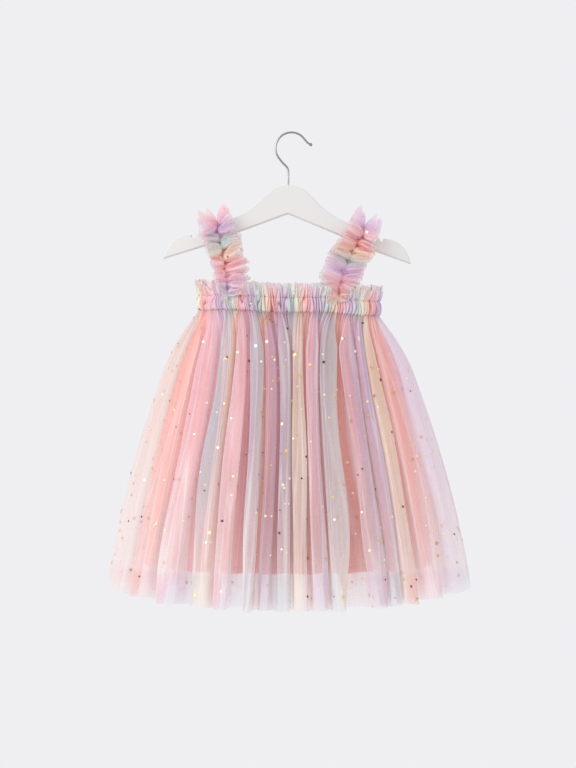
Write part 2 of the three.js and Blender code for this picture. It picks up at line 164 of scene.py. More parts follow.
class NodeBoard:
    """A new material and the nodes on it."""

    def __init__(self, name: str) -> None:
        """Makes a material with one Principled shader.

        Args:
            name: the material's name.
        """
        self.material = bpy.data.materials.new(name)
        self.material.use_nodes = True
        self.tree = self.material.node_tree
        self.shader = self.tree.nodes["Principled BSDF"]

    def node(self, kind: str, settings: dict, inputs: dict) -> bpy.types.Node:
        """Adds a node.

        Args:
            kind: Blender's node type.
            settings: what to set on the node first. stops is a ramp's list of places and colours, and
                ramp_interpolation is how it goes from one to the next.
            inputs: a value, Signal or socket for each input, by name or number.

        Returns:
            The node.
        """
        node = self.tree.nodes.new(kind)
        for name, value in settings.items():
            if name == "stops":
                self._set_stops(node.color_ramp, value)
            elif name == "ramp_interpolation":
                node.color_ramp.interpolation = value
            else:
                setattr(node, name, value)
        for key, value in inputs.items():
            self.feed(node.inputs[key], value)
        return node

    @staticmethod
    def _set_stops(ramp: bpy.types.ColorRamp, stops: Sequence[tuple[float, Colour]]) -> None:
        """Puts a ramp's stops in place.

        Args:
            ramp: the ramp, with Blender's two first stops.
            stops: places from 0 to 1, each with a linear colour.
        """
        while len(ramp.elements) < len(stops):
            ramp.elements.new(0.5)
        for element, (place, colour) in zip(ramp.elements, stops):
            element.position = place
            element.color = (*colour, 1.0)

    def feed(self, socket: bpy.types.NodeSocket, value: "Operand | bpy.types.NodeSocket | Colour") -> None:
        """Links or sets one input.

        Args:
            socket: the input.
            value: a Signal, an output socket, a number, or three numbers.
        """
        if isinstance(value, Signal):
            self.tree.links.new(value.socket, socket)
        elif isinstance(value, bpy.types.NodeSocket):
            self.tree.links.new(value, socket)
        elif socket.type == "RGBA":
            socket.default_value = (*value, 1.0)
        else:
            socket.default_value = value

    def constants(self, **values: float) -> None:
        """Sets the shader's own sockets, with _ for a space in a socket's name."""
        for name, value in values.items():
            self.feed(self.shader.inputs[name.replace("_", " ")], value)

    def mark(self, name: str) -> Signal:
        """Returns the value that a mesh carries under a name."""
        node = self.node("ShaderNodeAttribute", {"attribute_name": name}, {})
        return Signal(self, node.outputs["Fac"])

    def scaled(self, vector: bpy.types.NodeSocket, steps: Colour) -> bpy.types.NodeSocket:
        """Returns a vector with each of its numbers multiplied by a step of its own."""
        node = self.node("ShaderNodeVectorMath", {"operation": "MULTIPLY"}, {0: vector, 1: steps})
        return node.outputs[0]

    def cloth_place(self, across: float, along: float) -> bpy.types.NodeSocket:
        """Gives the place on the flat cloth, scaled for a pattern.

        Args:
            across: pattern steps for each metre across the cloth.
            along: pattern steps for each metre down it.

        Returns:
            The scaled vector.
        """
        place = self.node("ShaderNodeUVMap", {"uv_map": Sheet.CLOTH_LAYER}, {})
        return self.scaled(place.outputs[0], (across, along, 1.0))

    def solid_place(self, x: float, y: float, z: float) -> bpy.types.NodeSocket:
        """Gives the place in the piece's own space, scaled for a pattern.

        Args:
            x: pattern steps for each metre across the dress.
            y: pattern steps for each metre through it.
            z: pattern steps for each metre up it.

        Returns:
            The scaled vector.
        """
        place = self.node("ShaderNodeTexCoord", {}, {})
        return self.scaled(place.outputs["Object"], (x, y, z))

    def noise(self, vector: bpy.types.NodeSocket, detail: float = 2.0) -> Signal:
        """Returns noise from 0 to 1 over a vector, at one step for each unit."""
        node = self.node("ShaderNodeTexNoise", {}, {"Vector": vector, "Scale": 1.0, "Detail": detail})
        return Signal(self, node.outputs[0])

    def blend(
        self,
        factor: Operand,
        first: bpy.types.NodeSocket | Colour,
        second: bpy.types.NodeSocket | Colour,
        mode: str = "MIX",
    ) -> bpy.types.NodeSocket:
        """Mixes two colours.

        Args:
            factor: how much of the second.
            first: a linear colour or a socket.
            second: a linear colour or a socket.
            mode: Blender's blend type.

        Returns:
            The mixed colour.
        """
        # A Mix node has its colours in the sockets numbered 6 and 7, and their mix in the one numbered 2
        settings = {"data_type": "RGBA", "blend_type": mode}
        node = self.node("ShaderNodeMix", settings, {0: factor, 6: first, 7: second})
        return node.outputs[2]

    def shaded(self, colour: bpy.types.NodeSocket | Colour, level: Signal) -> bpy.types.NodeSocket:
        """Returns a colour multiplied by a level of grey."""
        grey = self.node("ShaderNodeCombineColor", {}, {0: level, 1: level, 2: level})
        return self.blend(1.0, colour, grey.outputs[0], "MULTIPLY")

    def bump(self, height: Signal, depth_mm: float, strength: float) -> None:
        """Raises the surface by a height.

        Args:
            height: from 0 to 1.
            depth_mm: what 1 stands for.
            strength: from 0 to 1.
        """
        inputs = {"Height": height, "Distance": depth_mm * MM, "Strength": strength}
        node = self.node("ShaderNodeBump", {}, inputs)
        self.feed(self.shader.inputs["Normal"], node.outputs[0])

    def sheer(self, cover: Signal, glow_share: float, glow: Colour) -> None:
        """Makes the cloth sheer, so that light passes its threads and the gaps between them.

        Args:
            cover: how much of the surface the threads take up.
            glow_share: how much of the light that meets a thread goes on through it.
            glow: the linear colour of that light.
        """
        through = self.node("ShaderNodeBsdfTranslucent", {}, {"Color": glow})
        inputs = {0: glow_share, 1: self.shader.outputs[0], 2: through.outputs[0]}
        threads = self.node("ShaderNodeMixShader", {}, inputs)
        gaps = self.node("ShaderNodeBsdfTransparent", {}, {})
        cloth = self.node("ShaderNodeMixShader", {}, {0: cover, 1: gaps.outputs[0], 2: threads.outputs[0]})
        self.feed(self.tree.nodes["Material Output"].inputs["Surface"], cloth.outputs[0])


def linear(code: str) -> Colour:
    """Turns a screen colour into a linear one, along the usual screen curve.

    Args:
        code: six hexadecimal digits.

    Returns:
        Red, green and blue from 0 to 1.
    """
    parts = [int(code[i:i + 2], 16) / 255 for i in (0, 2, 4)]
    return tuple(part / 12.92 if part <= 0.04045 else ((part + 0.055) / 1.055) ** 2.4 for part in parts)


# Finishes


@dataclass(frozen=True)
class StripeRun:
    """Where one colour runs pure in a repeat of the stripes. From one run to the next they blend."""

    colour: str
    start: float
    end: float


STRIPE_RUNS = (
    StripeRun("mint", 0.0, 0.1),
    StripeRun("cream", 0.2, 0.28),
    StripeRun("coral", 0.4, 0.48),
    StripeRun("pink", 0.58, 0.68),
    StripeRun("lavender", 0.8, 0.9),
)


@dataclass(frozen=True)
class StripedNetFinish:
    """Sheer net dyed in soft stripes of five colours.

    It reads four marks of its mesh: stripe is the place in the repeats, fade how pale the net is,
    from its sheerness and from painted highlights, pinch the painted shade in its creases, and cover how
    much of the surface the threads take up. Steps count the patterns in a metre, across the cloth and down
    it.
    """

    name: str
    mint: str = "C4D9E2"
    cream: str = "F6E8CF"
    coral: str = "FBBCB2"
    pink: str = "FCD0DB"
    lavender: str = "DFCBEA"
    # pale_and_lit is what the net pales towards: where it is sheer, and where a highlight is painted on it.
    pale_and_lit: str = "F8F2F3"
    # crease is the colour of the painted shade that is multiplied into the net's creases.
    crease: str = "A8A0AA"
    crease_shade_share: float = 0.9
    glow: str = "F8E6E3"
    glow_share: float = 0.33
    streak_mm: float = 3.2
    streak_steps_down: float = 9.0
    streak_depth: float = 0.44
    streak_shade: float = 0.28
    streak_bump_mm: float = 0.5
    fine_steps: tuple[float, float] = (1400.0, 30.0)
    line_mm: float = 10.0
    line_steps_down: float = 2.4
    line_sharpness: float = 26.0
    line_pale_and_lit: float = 0.4
    line_cover: float = 0.3
    mesh_steps: tuple[float, float] = (700.0, 700.0)
    mesh_thickness: float = 3.0
    mesh_least: float = 0.93
    mesh_relief: float = 0.14

    def stops(self) -> list[tuple[float, Colour]]:
        """Lists the ramp's stops over one repeat of the stripes, which ends in mint as it starts.

        Returns:
            Places from 0 to 1, each with a linear colour.
        """
        stops = []
        for run in STRIPE_RUNS:
            colour = linear(getattr(self, run.colour))
            stops += [(run.start, colour), (run.end, colour)]
        return [*stops, (1.0, linear(self.mint))]

    def colour(self, board: NodeBoard, streak: Signal, line: Signal) -> bpy.types.NodeSocket:
        """Colours the stripes, paler with sheerness and painted highlights, and darker with painted shade
        along its creases.

        Args:
            board: the net's board.
            streak: the soft streaks down the net.
            line: the thin lines of doubled net, paler in part from a painted highlight.

        Returns:
            The colour.
        """
        ramp = {"stops": self.stops(), "ramp_interpolation": "EASE"}
        stripes = board.node("ShaderNodeValToRGB", ramp, {0: board.mark("stripe").fraction()})
        # Paleness comes partly from sheer net and partly from painted highlights.
        paleness = (board.mark("fade") + self.line_pale_and_lit * line).clamped()
        paled_and_lit = board.blend(paleness, stripes.outputs[0], linear(self.pale_and_lit))
        streaked = board.shaded(paled_and_lit, 1.0 + self.streak_shade * (streak - 0.5))
        # Painted shade: the pinch mark darkens the creases towards the crease colour.
        crease_shaded = (board.mark("pinch") * self.crease_shade_share).clamped()
        return board.blend(crease_shaded, streaked, linear(self.crease), "MULTIPLY")

    def cover(self, board: NodeBoard, streak: Signal, line: Signal) -> Signal:
        """Gives how much of the surface the threads take up.

        Args:
            board: the net's board.
            streak: the soft streaks down the net.
            line: the thin lines along which it is denser.

        Returns:
            The share, from 0 to 1.
        """
        fine = board.noise(board.cloth_place(*self.fine_steps), 1.0)
        inputs = {"Vector": board.cloth_place(*self.mesh_steps), "Scale": 1.0}
        holes = board.node("ShaderNodeTexVoronoi", {"feature": "DISTANCE_TO_EDGE"}, inputs)
        mesh = (1.0 - Signal(board, holes.outputs[0]) * self.mesh_thickness).clamped()
        woven = self.mesh_least + self.mesh_relief * mesh + self.line_cover * line
        uneven = 1.0 + self.streak_depth * (streak + 0.5 * fine - 0.75)
        return (board.mark("cover") * woven * uneven).clamped()

    def build(self) -> bpy.types.Material:
        """Makes the net's material.

        Returns:
            The material.
        """
        board = NodeBoard(self.name)
        streak = board.noise(board.cloth_place(1 / (self.streak_mm * MM), self.streak_steps_down), 3.0)
        drift = board.noise(board.cloth_place(1 / (self.line_mm * MM), self.line_steps_down), 1.0)
        # Thin lines where the net lies doubled: denser, and paler in part as a painted highlight.
        line = (1.0 - (drift - 0.5).size() * self.line_sharpness).clamped()
        board.feed(board.shader.inputs["Base Color"], self.colour(board, streak, line))
        board.bump(streak, self.streak_bump_mm, 0.35)
        board.constants(Roughness=0.62, Sheen_Weight=0.25, Sheen_Roughness=0.5, Specular_IOR_Level=0.25)
        board.sheer(self.cover(board, streak, line), self.glow_share, linear(self.glow))
        return board.material


@dataclass(frozen=True)
class LiningFinish:
    """Plain woven lining with a soft shine."""

    colour: str = "FDC4BB"
    deep: str = "F8B1A8"
    cloud_steps: tuple[float, float] = (22.0, 12.0)
    weave_steps: tuple[float, float] = (1900.0, 1900.0)
    weave_shade: float = 0.16

    def build(self) -> bpy.types.Material:
        """Makes the lining's material.

        Returns:
            The material.
        """
        board = NodeBoard("coral_lining")
        cloudy = board.noise(board.cloth_place(*self.cloud_steps), 3.0)
        weave = board.noise(board.cloth_place(*self.weave_steps), 1.0)
        colour = board.blend((cloudy * 0.5).clamped(), linear(self.colour), linear(self.deep))
        level = 1.0 - self.weave_shade / 2 + self.weave_shade * weave
        board.feed(board.shader.inputs["Base Color"], board.shaded(colour, level))
        board.bump(weave, 0.15, 0.3)
        board.constants(Roughness=0.7, Sheen_Weight=0.15, Specular_IOR_Level=0.3)
        return board.material


@dataclass(frozen=True)
class PaintedWoodFinish:
    """Satin off-white paint over a fine straight grain."""

    paint: str = "E0DFDC"
    warm: str = "D6D5CF"
    grain_steps: Colour = (18.0, 300.0, 420.0)
    broad_steps: Colour = (9.0, 20.0, 20.0)

    def build(self) -> bpy.types.Material:
        """Makes the hanger board's material.

        Returns:
            The material.
        """
        board = NodeBoard("painted_wood")
        grain = board.noise(board.solid_place(*self.grain_steps), 4.0)
        broad = board.noise(board.solid_place(*self.broad_steps), 2.0)
        colour = board.blend((0.25 * grain + 0.5 * broad).clamped(), linear(self.paint), linear(self.warm))
        board.feed(board.shader.inputs["Base Color"], colour)
        board.feed(board.shader.inputs["Roughness"], 0.38 + 0.14 * grain)
        board.bump(grain, 0.12, 0.35)
        board.constants(Specular_IOR_Level=0.4)
        return board.material


@dataclass(frozen=True)
class SteelWireFinish:
    """Bright drawn steel wire."""

    bright: str = "A9A8A4"
    dull: str = "7E7D7A"
    drawn_steps: Colour = (900.0, 900.0, 120.0)

    def build(self) -> bpy.types.Material:
        """Makes the hook's material.

        Returns:
            The material.
        """
        board = NodeBoard("steel_wire")
        drawn = board.noise(board.solid_place(*self.drawn_steps), 2.0)
        board.feed(board.shader.inputs["Roughness"], 0.22 + 0.2 * drawn)
        colour = board.blend(drawn, linear(self.bright), linear(self.dull))
        board.feed(board.shader.inputs["Base Color"], colour)
        board.bump(drawn, 0.05, 0.2)
        board.constants(Metallic=1.0)
        return board.material


@dataclass(frozen=True)
class FoilFinish:
    """Gold foil from dark through gold to nearly white, by the mark called tone, whose dark end is painted
    shade and whose nearly white end a painted glint.
    """

    dark: str = "3A2A20"
    bronze: str = "B98B58"
    gold: str = "F3D6A0"
    pale: str = "FFF6E2"
    bronze_tone: float = 0.35
    gold_tone: float = 0.6
    crinkle_steps: Colour = (900.0, 900.0, 900.0)

    def build(self) -> bpy.types.Material:
        """Makes the foil's material.

        Returns:
            The material.
        """
        board = NodeBoard("gold_foil")
        stops = [
            (0.0, linear(self.dark)),
            (self.bronze_tone, linear(self.bronze)),
            (self.gold_tone, linear(self.gold)),
            (1.0, linear(self.pale)),
        ]
        ramp = board.node("ShaderNodeValToRGB", {"stops": stops}, {0: board.mark("tone")})
        crinkle = board.noise(board.solid_place(*self.crinkle_steps), 2.0)
        board.feed(board.shader.inputs["Base Color"], ramp.outputs[0])
        board.feed(board.shader.inputs["Roughness"], 0.2 + 0.2 * crinkle)
        board.bump(crinkle, 0.1, 0.4)
        board.constants(Metallic=0.85)
        return board.material


@dataclass(frozen=True)
class ThreadFinish:
    """Sewing thread."""

    name: str
    colour: str
    twist_steps: Colour = (2500.0, 2500.0, 2500.0)

    def build(self) -> bpy.types.Material:
        """Makes the thread's material.

        Returns:
            The material.
        """
        board = NodeBoard(self.name)
        twist = board.noise(board.solid_place(*self.twist_steps), 1.0)
        board.feed(board.shader.inputs["Base Color"], board.shaded(linear(self.colour), 0.8 + 0.4 * twist))
        board.bump(twist, 0.08, 0.4)
        board.constants(Roughness=0.75, Sheen_Weight=0.2)
        return board.material


@dataclass(frozen=True)
class FloorFinish:
    """Plain pale studio floor."""

    pale: str = "F2F1F1"
    dusty: str = "E9E8E8"
    cloud_steps: Colour = (6.0, 6.0, 6.0)

    def build(self) -> bpy.types.Material:
        """Makes the floor's material.

        Returns:
            The material.
        """
        board = NodeBoard("pale_floor")
        cloudy = board.noise(board.solid_place(*self.cloud_steps), 2.0)
        colour = board.blend(0.3 * cloudy, linear(self.pale), linear(self.dusty))
        board.feed(board.shader.inputs["Base Color"], colour)
        board.constants(Roughness=0.9, Specular_IOR_Level=0.1)
        return board.material


# Numbers over a cloth


def ramp(values: np.ndarray, start: float, end: float) -> np.ndarray:
    """Returns 0 up to start, 1 from end on, and an even rise between them."""
    return np.clip((values - start) / (end - start), 0, 1)


def hump(values: np.ndarray, reach: float) -> np.ndarray:
    """Returns 1 where values are 0, and less the further they are from it, with nearly none past reach."""
    return np.exp(-(values / reach) ** 2)


def unit(vectors: np.ndarray) -> np.ndarray:
    """Returns vectors at a length of 1."""
    return vectors / np.maximum(np.linalg.norm(vectors, axis=-1, keepdims=True), 1e-12)


def smooth_curve(knots: np.ndarray, values: np.ndarray, places: np.ndarray) -> np.ndarray:
    """Reads a smooth curve through knots.

    Args:
        knots: where the curve's values are given, from low to high.
        values: a number or a point for each knot.
        places: where to read the curve.

    Returns:
        A number or a point for each place.
    """
    slopes = np.gradient(values, knots, axis=0)
    spot = np.clip(np.searchsorted(knots, places, side="right") - 1, 0, len(knots) - 2)
    gap = knots[spot + 1] - knots[spot]
    t = np.clip((places - knots[spot]) / gap, 0, 1)
    if values.ndim > 1:
        gap, t = gap[..., None], t[..., None]
    return (
        values[spot] * (1 + 2 * t) * (1 - t) ** 2
        + slopes[spot] * gap * t * (1 - t) ** 2
        + values[spot + 1] * t ** 2 * (3 - 2 * t)
        - slopes[spot + 1] * gap * t ** 2 * (1 - t)
    )


def columns_of(table: Sequence[object], key: str, name: str) -> tuple[np.ndarray, np.ndarray]:
    """Gives two columns of a table.

    Args:
        table: rows with named fields.
        key: the field that the rows are sorted by.
        name: the other field.

    Returns:
        Both columns, from the lowest key to the highest.
    """
    rows = sorted(table, key=lambda row: getattr(row, key))
    keys = np.array([getattr(row, key) for row in rows], dtype=float)
    return keys, np.array([getattr(row, name) for row in rows], dtype=float)


def read_table(table: Sequence[object], key: str, name: str, places: np.ndarray) -> np.ndarray:
    """Reads a column of a table at places between its rows, along straight lines.

    Args:
        table: rows with named fields.
        key: the field that the places are given in.
        name: the field to read.
        places: where to read it.

    Returns:
        The values.
    """
    return np.interp(places, *columns_of(table, key, name))


def smooth_read(table: Sequence[object], key: str, name: str, places: np.ndarray) -> np.ndarray:
    """Reads a column of a table at places between its rows, along a smooth curve.

    Args:
        table: rows with named fields.
        key: the field that the places are given in.
        name: the field to read.
        places: where to read it.

    Returns:
        The values.
    """
    return smooth_curve(*columns_of(table, key, name), places)


@dataclass(frozen=True)
class Ripple:
    """Smooth uneven waves over a cloth, from a few sines with seeded phases.

    across and along are the least and the most waves for each unit in the two directions.
    """

    seed: int
    across: tuple[float, float]
    along: tuple[float, float]
    count: int

    def at(self, x: np.ndarray, y: np.ndarray) -> np.ndarray:
        """Gives the waves at places of the cloth.

        Args:
            x: places across the cloth.
            y: places along it.

        Returns:
            Values of about -1 to 1.
        """
        rng = np.random.default_rng(self.seed)
        total = np.zeros(np.broadcast(x, y).shape)
        for _ in range(self.count):
            steps_x = rng.uniform(*self.across)
            steps_y = rng.uniform(*self.along) * rng.choice([-1, 1])
            total += np.sin(2 * np.pi * (steps_x * x + steps_y * y) + rng.uniform(0, 2 * np.pi))
        return total / math.sqrt(self.count)


# Meshes


@dataclass
class Sheet:
    """A grid of points over a piece of cloth, with what its finish reads at each one.

    Rows run down the cloth, and columns run to the right as seen from its outer side. Points are in metres,
    marks are numbers by name, and cloth is the place of each point on the flat cloth, in metres.
    """

    CLOTH_LAYER = "Cloth"

    points: np.ndarray
    cloth: np.ndarray
    marks: dict[str, np.ndarray] = field(default_factory=dict)

    def faces(self) -> np.ndarray:
        """Lists the grid's quads.

        Returns:
            A row of four point numbers for each.
        """
        number = self.numbers()
        corners = (number[:-1, :-1], number[1:, :-1], number[1:, 1:], number[:-1, 1:])
        return np.stack(corners, axis=-1).reshape(-1, 4)

    def numbers(self) -> np.ndarray:
        """Returns the number of each point of the grid."""
        rows, columns = self.points.shape[:2]
        return np.arange(rows * columns).reshape(rows, columns)

    def normals(self) -> np.ndarray:
        """Returns the outward direction at each point."""
        return unit(np.cross(np.gradient(self.points, axis=0), np.gradient(self.points, axis=1)))

    def flat_marks(self) -> dict[str, np.ndarray]:
        """Returns the marks with one number for each point."""
        shape = self.points.shape[:2]
        return {name: np.broadcast_to(values, shape).reshape(-1) for name, values in self.marks.items()}

    def rim_faces(self) -> np.ndarray:
        """Lists the quads that close a shell's four edges, whose inner points follow the outer ones.

        Returns:
            A row of four point numbers for each.
        """
        number = self.numbers()
        loop = np.concatenate([number[0, :-1], number[:-1, -1], number[-1, :0:-1], number[:0:-1, 0]])
        after = np.roll(loop, -1)
        return np.stack([loop, after, after + number.size, loop + number.size], axis=-1)

    def make(self, name: str, material: bpy.types.Material, thickness: float = 0.0) -> bpy.types.Object:
        """Makes the sheet's object.

        Args:
            name: the piece's name.
            material: its material.
            thickness: of a closed shell, in millimetres, or 0 for a single skin.

        Returns:
            The object.
        """
        points = self.points.reshape(-1, 3)
        faces = self.faces()
        marks = self.flat_marks()
        cloth = self.cloth.reshape(-1, 2)
        if thickness:
            inner = (self.points - self.normals() * thickness * MM).reshape(-1, 3)
            faces = np.vstack([faces, faces[:, ::-1] + len(points), self.rim_faces()])
            points = np.vstack([points, inner])
            marks = {key: np.tile(value, 2) for key, value in marks.items()}
            cloth = np.vstack([cloth, cloth])
        return mesh_object(name, points, faces, material, marks, cloth)


def joined(sheets: Sequence[Sheet], name: str, material: bpy.types.Material) -> bpy.types.Object:
    """Makes one object of several layers of cloth.

    Args:
        sheets: the layers, with the same marks.
        name: the piece's name.
        material: its material.

    Returns:
        The object.
    """
    points = np.vstack([sheet.points.reshape(-1, 3) for sheet in sheets])
    cloth = np.vstack([sheet.cloth.reshape(-1, 2) for sheet in sheets])
    faces = []
    count = 0
    for sheet in sheets:
        faces.append(sheet.faces() + count)
        count += sheet.numbers().size
    flat = [sheet.flat_marks() for sheet in sheets]
    marks = {key: np.concatenate([values[key] for values in flat]) for key in flat[0]}
    return mesh_object(name, points, np.vstack(faces), material, marks, cloth)


def mesh_object(
    name: str,
    points: np.ndarray,
    faces: Iterable[Sequence[int]],
    material: bpy.types.Material,
    marks: dict[str, np.ndarray] | None = None,
    cloth: np.ndarray | None = None,
    smooth: bool = True,
) -> bpy.types.Object:
    """Makes a mesh object at the origin.

    Args:
        name: the piece's name.
        points: corners in metres.
        faces: point numbers of each face.
        material: the piece's material.
        marks: named values for each point.
        cloth: the place of each point on the flat cloth, in metres.
        smooth: whether its faces are shaded smooth.

    Returns:
        The object.
    """
    mesh = bpy.data.meshes.new(name)
    mesh.from_pydata(points.tolist(), [], [list(map(int, face)) for face in faces])
    for key, values in (marks or {}).items():
        layer = mesh.attributes.new(key, "FLOAT", "POINT")
        layer.data.foreach_set("value", values.astype(np.float32))
    if cloth is not None:
        corner_points = np.empty(len(mesh.loops), dtype=np.int32)
        mesh.loops.foreach_get("vertex_index", corner_points)
        layer = mesh.uv_layers.new(name=Sheet.CLOTH_LAYER)
        layer.data.foreach_set("uv", cloth.astype(np.float32)[corner_points].ravel())
    mesh.polygons.foreach_set("use_smooth", np.full(len(mesh.polygons), smooth))
    mesh.materials.append(material)
    mesh.update()
    piece = bpy.data.objects.new(name, mesh)
    bpy.context.scene.collection.objects.link(piece)
    return piece


# The garment's tables


@dataclass(frozen=True)
class Droop:
    """How far the waist sags at a share of the half-width."""

    across: float
    drop: float


DROOP = (
    Droop(-1, 0), Droop(-0.6, 0), Droop(-0.1, 3.5), Droop(0.4, 3), Droop(0.75, 6.5), Droop(1, 7.5),
)


@dataclass(frozen=True)
class StripePlace:
    """Which stripe lies at a share of the half-width of the front band.

    A whole number is mint, and past it come cream at 0.25, coral at 0.45, pink at 0.63 and lavender at 0.85.
    """

    across: float
    stripe: float


BAND_STRIPES = (
    StripePlace(-1, 0.2), StripePlace(-0.95, 0.3), StripePlace(-0.86, 0.6), StripePlace(-0.74, 0.82),
    StripePlace(-0.615, 1.02), StripePlace(-0.5, 1.6), StripePlace(-0.42, 1.84), StripePlace(-0.33, 2.02),
    StripePlace(-0.25, 2.25), StripePlace(-0.17, 2.48), StripePlace(-0.07, 2.84), StripePlace(0.03, 3.02),
    StripePlace(0.11, 3.25), StripePlace(0.2, 3.55), StripePlace(0.29, 3.84), StripePlace(0.405, 4.02),
    StripePlace(0.48, 4.25), StripePlace(0.55, 4.5), StripePlace(0.64, 4.84), StripePlace(0.733, 5.02),
    StripePlace(0.8, 5.25), StripePlace(0.89, 5.48), StripePlace(0.97, 5.85), StripePlace(1, 5.95),
)


@dataclass(frozen=True)
class Fold:
    """One fold of the net skirt.

    Its crest starts at waist and ends at hem, as shares of the half-width. depth is how far it stands out,
    lap how far its sides tuck under it, stripe the colour on its crest, gap how wide the valley on its right
    opens, from 0 to 1, and sunk_shade how much painted shade the fold takes for lying deep between its
    neighbours, from 0 to 1.
    """

    waist: float
    hem: float
    depth: float
    lap: float
    stripe: float
    gap: float = 0.0
    sunk_shade: float = 0.0


FRONT_FOLDS = (
    Fold(-0.97, -0.91, 0.6, 0.4, 0.28),
    Fold(-0.92, -0.79, 0.8, 0.6, 0.4, 0.2),
    Fold(-0.85, -0.625, 1.0, 0.9, 0.66, 0.3),
    Fold(-0.67, -0.467, 0.7, 0.8, 1.1),
    Fold(-0.54, -0.36, 1.0, 1.0, 1.65, 0.9),
    Fold(-0.42, -0.213, 1.0, 1.0, 1.98, 0.3, 0.05),
    Fold(-0.27, -0.128, 0.5, 0.8, 2.74, 0.3, 0.9),
    Fold(-0.1, -0.02, 0.8, 0.9, 2.96, 0.0, 0.35),
    Fold(0.12, 0.06, 0.8, 0.9, 3.2, 0.12),
    Fold(0.29, 0.165, 1.0, 1.0, 3.72, 0.0, 0.22),
    Fold(0.48, 0.255, 1.0, 1.0, 4.06, 1.0),
    Fold(0.66, 0.465, 1.1, 1.1, 4.76, 0.0, 0.5),
    Fold(0.77, 0.565, 0.6, 0.7, 4.88),
    Fold(0.85, 0.63, 0.9, 0.9, 5.27, 0.6),
    Fold(0.92, 0.755, 0.8, 0.7, 5.5, 0.2),
    Fold(0.97, 0.92, 0.8, 0.5, 5.84),
)

BACK_FOLDS = (
    Fold(-0.93, -0.88, 0.8, 0.4, 5.75),
    Fold(-0.8, -0.7, 1.0, 0.9, 5.4, 0.3),
    Fold(-0.66, -0.56, 0.7, 0.8, 5.0),
    Fold(-0.52, -0.41, 1.0, 1.0, 4.62, 0.8),
    Fold(-0.37, -0.28, 0.9, 0.9, 4.2),
    Fold(-0.24, -0.15, 0.7, 0.8, 3.95, 0.3),
    Fold(-0.09, -0.04, 1.0, 1.0, 3.6, 0.6),
    Fold(0.06, 0.08, 0.8, 0.9, 3.1),
    Fold(0.2, 0.19, 1.0, 1.0, 2.75, 0.9),
    Fold(0.36, 0.33, 0.9, 0.9, 2.3, 0.1),
    Fold(0.52, 0.45, 0.6, 0.8, 1.95, 0.4),
    Fold(0.67, 0.6, 1.0, 1.0, 1.55),
    Fold(0.81, 0.74, 0.8, 0.8, 1.05, 0.3),
    Fold(0.93, 0.88, 0.9, 0.4, 0.6),
)


@dataclass(frozen=True)
class Section:
    """One oval section of the skirt or lining, at a share of the way down.

    width is its half-width, front and back are how far the two halves stand out, and fold is half the depth
    of its folds.
    """

    down: float
    width: float
    front: float
    back: float
    fold: float


SKIRT_SECTIONS = (
    Section(0, 109, 14.4, 14.4, 0.4),
    Section(0.03, 116, 20.5, 19, 1.8),
    Section(0.08, 127.5, 27, 24.5, 3.6),
    Section(0.17, 144, 35, 31, 5.6),
    Section(0.31, 161, 44.5, 38, 7.4),
    Section(0.49, 180, 54, 45, 8.8),
    Section(0.67, 196, 62, 51, 9.8),
    Section(0.84, 208.5, 69, 56, 10.6),
    Section(1, 218.5, 75, 60, 11.4),
)

LINING_SECTIONS = (
    Section(0, 107.2, 12.5, 12.5, 0),
    Section(0.04, 109.5, 14.5, 13.5, 0.4),
    Section(0.13, 117, 20, 17, 1.2),
    Section(0.32, 132, 29, 24, 2.6),
    Section(0.65, 154, 42, 34, 4.4),
    Section(1, 174, 52, 41, 5.6),
)


@dataclass(frozen=True)
class BandSection:
    """One oval section of the gathered band, by its height above the waist seam."""

    up: float
    width: float
    depth: float
    gather: float


BAND_SECTIONS = (
    BandSection(30, 114, 18.5, 1.7),
    BandSection(24, 112.5, 16.8, 1.3),
    BandSection(19, 110.6, 14.9, 0.9),
    BandSection(17.5, 109.4, 13.9, 0.6),
    BandSection(16, 110.4, 14.9, 0.9),
    BandSection(13, 111.3, 15.9, 1.15),
    BandSection(9, 111.6, 16.2, 1.25),
    BandSection(5, 111.3, 15.9, 1.15),
    BandSection(1.6, 110, 14.8, 0.9),
    BandSection(0, 109, 14.2, 0.6),
)
FRILL_UP = 17.5
BAND_TOP_UP = 30.0
BAND_GATHERS = 62
GATHER_SPACING = Ripple(21, (0.1, 0.45), (0.0, 0.02), 5)


def gather_ridge(across: np.ndarray, up: np.ndarray | float) -> np.ndarray:
    """Gives the fine gathers that run through the band into the top of the skirt.

    Args:
        across: shares of the half-width at the waist.
        up: heights above the waist seam.

    Returns:
        1 on a gather's round crest and -1 in the narrow valley beside it.
    """
    count = BAND_GATHERS * (across + 1) / 2
    uneven = count + 0.45 * GATHER_SPACING.at(count, up)
    return 2 * np.abs(np.sin(np.pi * uneven)) ** 0.55 - 1


def droop_at(x: np.ndarray) -> np.ndarray:
    """Returns how far the waist sags at places across the dress."""
    return read_table(DROOP, "across", "drop", (x - DRESS_X) / WAIST_HALF_WIDTH)


def cloth_height(
    x: np.ndarray, across: np.ndarray, level: np.ndarray, hem_z: tuple[float, float]
) -> np.ndarray:
    """Gives the height of cloth that hangs from the waist to a hem that is lowest in the middle.

    Args:
        x: places across the dress.
        across: shares of the half-width.
        level: shares of the way down.
        hem_z: the hem's height at the sides and in the middle.

    Returns:
        Heights.
    """
    side_z, middle_z = hem_z
    top = WAIST_Z - SEAM_GAP - droop_at(x)
    bottom = side_z + (middle_z - side_z) * np.sqrt(np.clip(1 - across ** 2, 0, 1))
    return top + (bottom - top) * level


def oval(
    side: Side, angle: np.ndarray, width: np.ndarray, depth: np.ndarray, offset: np.ndarray
) -> tuple[np.ndarray, np.ndarray]:
    """Gives points of oval sections.

    Args:
        side: which half of the dress.
        angle: from 0 at the left seam to pi at the right one, as seen from outside.
        width: half-widths.
        depth: how far the half stands out.
        offset: how far the points are moved out of the oval.

    Returns:
        Arrays of x and y in millimetres.
    """
    x = DRESS_X - side.facing * (width + offset) * np.cos(angle)
    y = -side.facing * ((depth + offset) * np.sin(angle) + SEAM_GAP / 2)
    return x, y


# Skirt


